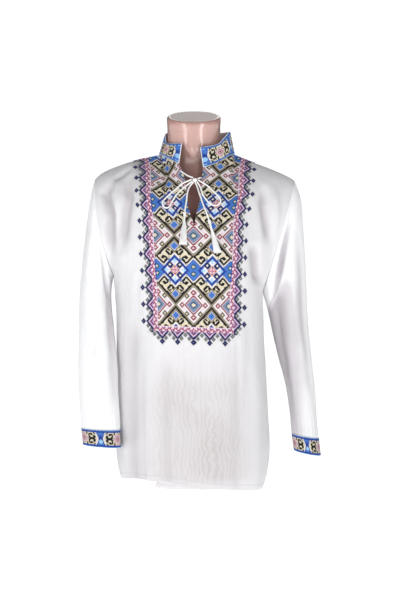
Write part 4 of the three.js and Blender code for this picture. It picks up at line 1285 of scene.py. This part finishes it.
class SHIRT_OT_tie(ShirtOperator, bpy.types.Operator):
    """Make the neck tie: two cords, two loops, two ends, their knot and the tassels"""

    bl_idname = "shirt.tie"
    bl_label = "Neck Tie"

    def build(self, context):
        tie = context.scene.shirt_tie
        cotton = finish_of("cotton")
        radius = tie.diameter / MM / 2 * 1.08
        made, lines, lengths = {}, {}, {}
        for name, route in TIE_ROUTES.items():
            if name.startswith("tie_end"):
                top, foot = (Vector(p) for p in TASSELS[name.replace("tie_end", "tassel")])
                route = [*route, top + (foot - top).normalized() * 20]
            line, length = smooth_line(route, 0.8)
            bm = rope_bmesh(line, radius, 12, 3, tie.lay / MM)
            made[name] = finish_piece(bm, name.replace("tie_", "") + "_rope", cotton)
            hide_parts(name)
            lines[name], lengths[name] = line, length
        made["knot"] = self.knot(cotton, radius)
        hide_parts("tie_knot")
        for name, (top, foot) in TASSELS.items():
            made[name] = self.tassel(name, Vector(top), Vector(foot), tie.strands, cotton)
            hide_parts(name)

    def knot(self, cotton, radius):
        """The crossing of the bow: a wrap of cord over the gathered strands."""
        centre = Vector(KNOT_CENTRE)
        bm = None
        wraps = (
            (0.0, 3.6, 0.25, 3.2),
            (-2.6, 3.2, -0.2, 2.9),
            (2.5, 3.1, 0.1, 3.0),
        )
        for offset, tall, slant, deep in wraps:
            route = []
            for k in range(13):
                angle = TAU * k / 12
                route.append(centre + Vector((offset + slant * 2.2 * math.sin(angle), -deep * math.cos(angle),
                                              tall * math.sin(angle))))
            line, _ = smooth_line(route, 0.7)
            wrap = rope_bmesh(line, radius * 0.82, 10, 3, 7.5)
            if bm is None:
                bm = wrap
            else:
                join_bmesh(bm, wrap)
        core = bmesh.new()
        bmesh.ops.create_icosphere(core, subdivisions=3, radius=1)
        bmesh.ops.scale(core, vec=(5.6, 3.6, 3.4), verts=core.verts[:])
        bmesh.ops.translate(core, vec=centre, verts=core.verts[:])
        for vert in core.verts:
            vert.co += vert.normal * 0.3 * math.sin(vert.co.x * 2.2 + vert.co.z * 1.7)
        core.loops.layers.uv.new("cloth")
        join_bmesh(bm, core)
        return finish_piece(bm, "bow_knot", cotton)

    def tassel(self, name, top, foot, strands, cotton):
        """A bound head from which loose cotton threads hang."""
        down = (foot - top).normalized()
        across = down.orthogonal().normalized()
        deep = down.cross(across)
        profile = [
            (0.2, 0.0), (1.6, 0.2), (2.7, 0.8), (3.6, 2.2), (3.9, 3.8), (3.6, 5.2), (2.7, 6.0), (2.7, 6.3),
            (3.0, 6.6), (2.7, 6.9), (3.0, 7.2), (2.7, 7.5), (3.0, 7.8), (2.7, 8.1), (3.1, 9.0), (0.3, 9.2),
        ]
        sides = 28

        def place(column, row):
            angle = TAU * (column % sides) / sides
            reach, drop = profile[row]
            reach *= 1 - (0.07 * abs(math.sin(angle * 9)) if row < 6 else 0)
            point = top + down * drop + across * (reach * math.cos(angle)) + deep * (reach * math.sin(angle))
            return point, (reach * angle, drop)

        bm = sheet_bmesh(sides, len(profile) - 1, place, wrap=True)
        bmesh.ops.holes_fill(bm, edges=[edge for edge in bm.edges if edge.is_boundary], sides=0)
        bmesh.ops.recalc_face_normals(bm, faces=bm.faces[:])
        dice = random.Random(name)
        length = (foot - top).length

        def skirt(column, row):
            angle, share = TAU * (column % 60) / 60, row / 14
            flare = 0.94 * share**1.25 * (1 + 0.07 * math.sin(angle * 15 + 2 * share))
            rag = 0.94 + 0.03 * math.sin(angle * 7) * share
            point = top + down * lerp(8.6, length * rag, share)
            neck = lerp(2.3, 0, flare)
            point += across * (neck * math.cos(angle)) + deep * (neck * math.sin(angle))
            return point + Vector((8 * math.cos(angle), 4.4 * math.sin(angle), 0)) * flare, (angle, share)

        cone = sheet_bmesh(60, 14, skirt, wrap=True)
        bmesh.ops.holes_fill(cone, edges=[edge for edge in cone.edges if edge.is_boundary], sides=0)
        bmesh.ops.recalc_face_normals(cone, faces=cone.faces[:])
        join_bmesh(bm, cone)
        for k in range(strands):
            spread = math.sqrt(lerp(0.55, 1, (k + 0.5) / strands))
            angle = k * GOLDEN_TURN
            c, s = math.cos(angle) * spread, math.sin(angle) * spread
            root = top + down * 8.4 + across * (2.4 * c) + deep * (2.4 * s)
            tip = top + down * (length * dice.uniform(0.93, 1.0)) + Vector((8.6 * c, 4.8 * s, 0))
            sway = Vector((dice.uniform(-1.2, 1.2), dice.uniform(-0.8, 0.8), 0))
            middle = root.lerp(tip, 0.45) + Vector((0.9 * c, 0.6 * s, 0)) + sway
            line, _ = smooth_line([root, middle, tip], 9)
            thread = rope_bmesh(line, 0.5, 4, 2, 12, 0.1)
            join_bmesh(bm, thread)
        return finish_piece(bm, name + "_threads", cotton)


class SHIRT_OT_front(ShirtOperator, bpy.types.Operator):
    """Make the front with its neck slit and its cross-stitched chest"""

    bl_idname = "shirt.front"
    bl_label = "Front and Chest Embroidery"

    def build(self, context):
        cloth = context.scene.shirt_cloth
        rows_below, rows_slit, rows_above = 84, 44, 60
        rows = rows_below + rows_slit + rows_above

        def level_of(row):
            if row <= rows_below:
                return row / rows_below
            if row <= rows_below + rows_slit:
                return 1 + SLIT_AT * (row - rows_below) / rows_slit
            return 1 + lerp(SLIT_AT, 1, (row - rows_below - rows_slit) / rows_above)

        bm = None
        for side in ("right", "left"):
            sign = -1 if side == "right" else 1
            full = girth("front", side)
            columns = 96

            def place(column, row):
                share = column / columns if side == "left" else 1 - column / columns
                across = sign * full * share
                level = level_of(row)
                point = panel_point("front", across, level, side)
                return point, (across, level * LEVEL_RISE)

            half = sheet_bmesh(columns, rows, place)
            count = columns + 1

            def relief(vert, cell):
                column, row = cell % count, cell // count
                share = column / columns if side == "left" else 1 - column / columns
                depth = panel_relief("front", vert.co, sign * full * share, level_of(row), side)
                tuck = 1.4 + 1.4 * ease((level_of(row) - 1.75) / 0.12)
                return depth + tuck * ease((PANEL - full * share) / 12)

            push_in(half, relief)
            if bm is None:
                bm = half
            else:
                join_bmesh(bm, half)
        seam = [v for v in bm.verts if abs(v.co.x) < 0.6 and v.co.z < SLIT_ROWS[0][0] + 2]
        bmesh.ops.remove_doubles(bm, verts=seam, dist=0.3)
        bm.normal_update()
        front = finish_piece(bm, "front_cloth", finish_of("shade_painted_linen"))
        thicken(front, cloth.thickness)
        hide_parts("front")
        self.embroider(context)

    def embroider(self, context):
        """The chest's cross-stitch, laid on the cloth row by row along each column of stitches."""
        stitch = context.scene.shirt_stitch
        colours = thread_colours()
        wide, high = stitch.wide / MM, stitch.high / MM
        (low, top), columns = CHEST_ROWS, CHEST_COLUMNS
        for side in ("right", "left"):
            sign = -1 if side == "right" else 1
            samples = {}

            def stitch_point(column, level):
                """A stitch's corner. The chest's shift fades from the slit towards its border."""
                high_up = ease((level - 0.92) / 0.42)
                spread = 1 + 0.085 * high_up * (0.5 + 0.5 * column / 48)
                beyond = max(column - CHAIN_AT - 1, 0)
                across = (column - beyond) * spread + beyond * lerp(TOOTH_SPREAD[side], 0.87, high_up)
                across = sign * max(across * wide, 0.001)
                fade = EASED[side] * ease(column * wide / 90)
                eased = max(abs(across) - fade * abs(slit_shift(side, across, level - 1)), 0.001)
                return panel_point("front", sign * eased, level, side)

            def column_table(column):
                lengths, levels, last = [0.0], [0.55], stitch_point(column, 0.55)
                zero = None
                for k in range(1, 121):
                    level = lerp(0.55, 1.9999, k / 120)
                    here = stitch_point(column, level)
                    base_z = ROW_ZERO + ROW_ZERO_SLOPE * here.x
                    step = (here - last).length
                    if zero is None and here.z >= base_z:
                        zero = lengths[-1] + step * (base_z - last.z) / (here.z - last.z)
                    lengths.append(lengths[-1] + step)
                    levels.append(level)
                    last = here
                return [length - zero for length in lengths], levels

            for column in range(columns + 1):
                samples[column] = column_table(column)
            reach = {}

            def place(column, row):
                k = column if side == "left" else columns - column
                lengths, levels = samples[k]
                wanted = (low + row) * high
                i = min(max(bisect.bisect_right(lengths, wanted) - 1, 0), len(lengths) - 2)
                t = (wanted - lengths[i]) / (lengths[i + 1] - lengths[i])
                level = lerp(levels[i], levels[i + 1], min(t, 1))
                reach[column, row] = t <= 1
                return stitch_point(k, level), (sign * k * wide, wanted)

            bm = sheet_bmesh(columns, top - low, place)
            count = columns + 1

            def relief(vert, cell):
                column, row = cell % count, cell // count
                k = column if side == "left" else columns - column
                return panel_relief("front", vert.co, sign * k * wide, 1.4, side)

            push_in(bm, relief)

            def chart(column, row):
                corners = [(column, row), (column + 1, row), (column, row + 1), (column + 1, row + 1)]
                if not all(reach[corner] for corner in corners):
                    return None
                k = column if side == "left" else columns - 1 - column
                return chest_chart(k - CHEST_MIDDLE if side == "right" else k + CHEST_MIDDLE, low + row)

            stitched(bm, columns, chart, colours, stitch.lift / MM)
            finish_piece(bm, "chest_stitches_" + side, finish_of("stitch"), smooth=False)


class SHIRT_OT_back(ShirtOperator, bpy.types.Operator):
    """Make the plain back"""

    bl_idname = "shirt.back"
    bl_label = "Back"

    def build(self, context):
        columns, below, above = 110, 70, 80
        right, left = girth("back", "right"), girth("back", "left")

        def spot(column, row):
            across = lerp(left, -right, column / columns)
            level = row / below if row <= below else 1 + (row - below) / above
            return across, level

        def place(column, row):
            across, level = spot(column, row)
            return panel_point("back", across, level, side_of(across)), (across, level * LEVEL_RISE)

        bm = sheet_bmesh(columns, below + above, place)
        cells = bm.verts.layers.int["cell"]
        soft = []
        for vert in bm.verts:
            across, level = spot(vert[cells] % (columns + 1), vert[cells] // (columns + 1))
            if 1.1 < level < 1.95 and -right + 12 < across < left - 12:
                soft.append(vert)
        for _ in range(16):
            bmesh.ops.smooth_vert(
                bm, verts=soft, factor=0.5, use_axis_x=True, use_axis_y=True, use_axis_z=True
            )
        bm.normal_update()

        def relief(vert, cell):
            across, level = spot(cell % (columns + 1), cell // (columns + 1))
            return panel_relief("back", vert.co, across, level, side_of(across))

        push_in(bm, relief)
        back = finish_piece(bm, "back_cloth", finish_of("shade_painted_linen"))
        thicken(back, context.scene.shirt_cloth.thickness)
        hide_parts("back")


def ring_curve(rows):
    return Curve([(i, *row) for i, row in enumerate(rows)])


def ring_point(curve, place, turn, fronts=None):
    """A point of a sleeve or cuff: turn 0 is its outer edge and a quarter turn its front."""
    ox, oz, ix, iz, y, half = (curve.at(place, column) for column in range(6))
    outer, inner = Vector((ox, y, oz)), Vector((ix, y, iz))
    axis = outer - inner
    angle = turn * TAU
    c, s = math.cos(angle), math.sin(angle)
    deep = half
    if fronts:
        deep = fronts.at(place, 0 if s > 0 else 1)
    return outer.lerp(inner, 0.5) + axis * (c / 2) + Vector((0, -deep * s, 0))


class SHIRT_OT_sleeves(ShirtOperator, bpy.types.Operator):
    """Make both sleeves"""

    bl_idname = "shirt.sleeves"
    bl_label = "Sleeves"

    def build(self, context):
        for side in ("right", "left"):
            self.sleeve(context, side)

    def sleeve(self, context, side):
        hole = ARMHOLES[side]
        columns, rows = 120, 150
        tuck = OUT[side] * -0.6
        tip, pit = Vector(hole["tip"]) + tuck, Vector(hole["pit"]) + tuck
        half = SLEEVE_ROWS[side][0][5]
        table = [(tip.x, tip.z, pit.x, pit.z, 2, half), *SLEEVE_ROWS[side]]
        curve = ring_curve(table)
        depths = [(hole["front"], hole["back"])] + [(row[5], row[5]) for row in SLEEVE_ROWS[side]]
        fronts = Curve([(i, *pair) for i, pair in enumerate(depths)])
        last = len(table) - 1

        def place(column, row):
            turn, along = (column % columns) / columns, row / rows * last
            point = ring_point(curve, along, turn, fronts)
            s = math.sin(turn * TAU)
            point += OUT[side] * (hole["bow"] * (1 - ease(along / 2.5)) * s * s)
            return point, (SLEEVE_FLAT[0] * column / columns, SLEEVE_FLAT[1] * row / rows)

        bm = sheet_bmesh(columns, rows, place, wrap=True, flip=side == "right")

        def relief(vert, cell):
            column, row = cell % (columns + 1), cell // (columns + 1)
            turn, share = column / columns, row / rows
            depth = 0.0
            for first, last_turn, start, end, width, deep in SLEEVE_FOLDS[side]:
                span = (share - start) / (end - start)
                if 0 <= span <= 1:
                    off = abs(((turn - lerp(first, last_turn, span) + 1.5) % 1) - 0.5) / width
                    depth += deep * bump(off) * math.sin(math.pi * span)
            keep = ease(share / 0.08) * ease((1 - share) / 0.06)
            depth = depth * keep + 1.6 * keep * crumple(vert.co, 40)
            pleats = 0.7 * math.cos(turn * TAU * 19) + 0.5 * math.cos(turn * TAU * 31 + 1)
            gather = ease((share - 0.9) / 0.08) * pleats
            long = SLEEVE_FLAT[1]
            return depth + gather + 0.8 * bump(share * long / 3) + 0.6 * bump((1 - share) * long / 3)

        def inner_painted_shade(cell):
            """A painted shade, with no depth behind it, where the sleeve faces the body."""
            column, row = cell % (columns + 1), cell // (columns + 1)
            deep, middle, width = INNER_PAINTED_SHADE[side]
            share = row / rows
            along = ease((share - 0.18) / 0.22) * (1 - 0.65 * ease((share - 0.55) / 0.35))
            return deep * bump((column / columns - middle) / width) * along

        push_in(bm, relief, inner_painted_shade)
        sleeve = finish_piece(bm, "sleeve_cloth_" + side, finish_of("linen"))
        thicken(sleeve, context.scene.shirt_cloth.thickness)
        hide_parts("sleeve_" + side)


class SHIRT_OT_cuffs(ShirtOperator, bpy.types.Operator):
    """Make both cuffs with their cross-stitch"""

    bl_idname = "shirt.cuffs"
    bl_label = "Cuffs"

    def build(self, context):
        stitch = context.scene.shirt_stitch
        colours = thread_colours()
        for side in ("right", "left"):
            curve = ring_curve(CUFF_ROWS[side])
            around = 0.0
            last = ring_point(curve, 0, 0)
            for k in range(1, 121):
                here = ring_point(curve, 0, k / 120)
                around += (here - last).length
                last = here

            def place(column, row):
                return ring_point(curve, row / 20, (column % 128) / 128), (around * column / 128, 2 * row)

            bm = sheet_bmesh(128, 20, place, wrap=True, flip=side == "right")
            cuff = finish_piece(bm, "cuff_cloth_" + side, finish_of("linen"))
            thicken(cuff, context.scene.shirt_cloth.band)
            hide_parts("cuff_" + side)

            columns = 4 * round(around / (stitch.wide / MM) / 4)
            rows = 21

            def stitch_place(column, row):
                along = (row + 0.4) / (rows + 0.8)
                point = ring_point(curve, along, (column % columns) / columns)
                return point, (around * column / columns, 2 * row)

            bm = sheet_bmesh(columns, rows, stitch_place, wrap=True, flip=side == "right")

            def chart(i, j):
                return cuff_chart(i - columns // 4, rows - 1 - j, rows)

            stitched(bm, columns, chart, colours, stitch.lift / MM)
            finish_piece(bm, "cuff_stitches_" + side, finish_of("stitch"), smooth=False)


def collar_point(share, up):
    """A point of the collar: share 0 is its right end and 1 its left end, round the back."""
    def slit_end(x):
        return math.asin((x - NECK["x"]) / NECK["wide"])

    _, right, left = SLIT_ROWS[-1]
    foot_angle = lerp(slit_end(-right), slit_end(left) - TAU, share)
    degrees = lerp(COLLAR_TOP_ROWS[-1][0], COLLAR_TOP_ROWS[0][0], share)
    panel = "front" if math.cos(foot_angle) > 0 else "back"
    foot = top_point(panel, NECK["x"] + NECK["wide"] * 0.99999 * math.sin(foot_angle))
    c, s = math.cos(math.radians(degrees)), math.sin(math.radians(degrees))
    deep = COLLAR["front"] if c > 0 else COLLAR["back"]
    top = Vector((COLLAR["x"] + COLLAR["wide"] * s, COLLAR["y"] - deep * c, COLLAR_TOP.at(degrees)))
    return foot.lerp(top, up)


class SHIRT_OT_collar(ShirtOperator, bpy.types.Operator):
    """Make the stand collar with its cross-stitch"""

    bl_idname = "shirt.collar"
    bl_label = "Collar"

    def build(self, context):
        stitch = context.scene.shirt_stitch

        def place(column, row):
            return collar_point(column / 200, row / 14), (2.4 * column, 3.6 * row)

        bm = sheet_bmesh(200, 14, place, flip=True)
        collar = finish_piece(bm, "collar_cloth", finish_of("linen"))
        thicken(collar, context.scene.shirt_cloth.band)
        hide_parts("collar")

        columns, rows = 264, 26

        def stitch_place(column, row):
            share = lerp(0.003, 0.997, column / columns)
            return collar_point(share, lerp(0.02, 0.98, row / rows)), (1.76 * column, 1.94 * row)

        bm = sheet_bmesh(columns, rows, stitch_place, flip=True)

        def chart(i, j):
            return collar_chart(min(i, columns - 1 - i), j, rows)

        stitched(bm, columns, chart, thread_colours(), stitch.lift / MM)
        finish_piece(bm, "collar_stitches", finish_of("stitch"), smooth=False)


class SHIRT_OT_form(ShirtOperator, bpy.types.Operator):
    """Make the smooth glossy torso form that wears the shirt"""

    bl_idname = "shirt.form"
    bl_label = "Torso Form"

    def build(self, context):
        sides = 96
        heights = []
        for low, high in zip(FORM_ROWS, FORM_ROWS[1:]):
            steps = max(1, round((high[0] - low[0]) / 7))
            heights += [lerp(low[0], high[0], k / steps) for k in range(steps)]
        heights.append(FORM_ROWS[-1][0])

        def place(column, row):
            z = heights[row]
            x0, y0, wide, front, back, square, lean = (FORM.at(z, k) for k in range(7))
            angle = TAU * (column % sides) / sides
            deep = front if math.sin(angle) > 0 else back
            reach = section_reach(angle, wide, deep, square)
            if math.sin(angle) > 0 and z > 735:
                # Two soft tendons run from the hollow at the base of the neck to its sides.
                spread = lerp(5, 34, clamp((z - 742) / 96))
                off = abs(-reach * math.cos(angle) - x0)
                strength = ease((z - 735) / 20) * (1 - 0.85 * ease((z - 770) / 30))
                reach += strength * (2.4 * bump((off - spread) / 8) - 1.6 * bump(off / max(4, spread * 0.55)))
            x, y = -reach * math.cos(angle), -reach * math.sin(angle)
            return Vector((x0 + x, y0 + y, z + lean * y / deep)), (column, row)

        bm = sheet_bmesh(sides, len(heights) - 1, place, wrap=True)
        edges = [edge for edge in bm.edges if edge.is_boundary]
        rims = bmesh.ops.holes_fill(bm, edges=edges, sides=0)["faces"]
        bmesh.ops.recalc_face_normals(bm, faces=bm.faces[:])
        cut = max(rims, key=lambda face: face.calc_center_median().z)
        bmesh.ops.inset_region(bm, faces=[cut], thickness=1.5, depth=0.5)
        bmesh.ops.inset_region(bm, faces=[cut], thickness=3, depth=-0.6)
        cut.material_index = 1
        form = finish_piece(bm, "torso_shell", finish_of("form"))
        form.data.materials.append(finish_of("cut"))
        for polygon in form.data.polygons:
            polygon.use_smooth = len(polygon.vertices) < 5
        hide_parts("torso_form")


class SHIRT_PT_panel(bpy.types.Panel):
    """Lists what the add-on makes"""

    bl_idname = "SHIRT_PT_panel"
    bl_label = "Folk Shirt"
    bl_space_type = "VIEW_3D"
    bl_region_type = "UI"
    bl_category = "Folk Shirt"

    def draw(self, context):
        for operator in OPERATORS:
            self.layout.operator(operator.bl_idname)
        for name in SETTINGS:
            settings = getattr(context.scene, name)
            box = self.layout.box()
            for key in settings.bl_rna.properties.keys():
                if key not in ("rna_type", "name"):
                    box.prop(settings, key)


OPERATORS = [
    SHIRT_OT_stage,
    SHIRT_OT_tie,
    SHIRT_OT_form,
    SHIRT_OT_front,
    SHIRT_OT_back,
    SHIRT_OT_sleeves,
    SHIRT_OT_cuffs,
    SHIRT_OT_collar,
]


def register():
    for cls in (*SETTINGS.values(), *OPERATORS, SHIRT_PT_panel):
        bpy.utils.register_class(cls)
    for name, cls in SETTINGS.items():
        setattr(bpy.types.Scene, name, bpy.props.PointerProperty(type=cls))


def unregister():
    for name in SETTINGS:
        delattr(bpy.types.Scene, name)
    for cls in reversed((*SETTINGS.values(), *OPERATORS, SHIRT_PT_panel)):
        bpy.utils.unregister_class(cls)


def main():
    register()
    for operator in OPERATORS:
        group, name = operator.bl_idname.split(".")
        getattr(getattr(bpy.ops, group), name)()
    bpy.context.view_layer.update()


if __name__ == "__main__":
    main()
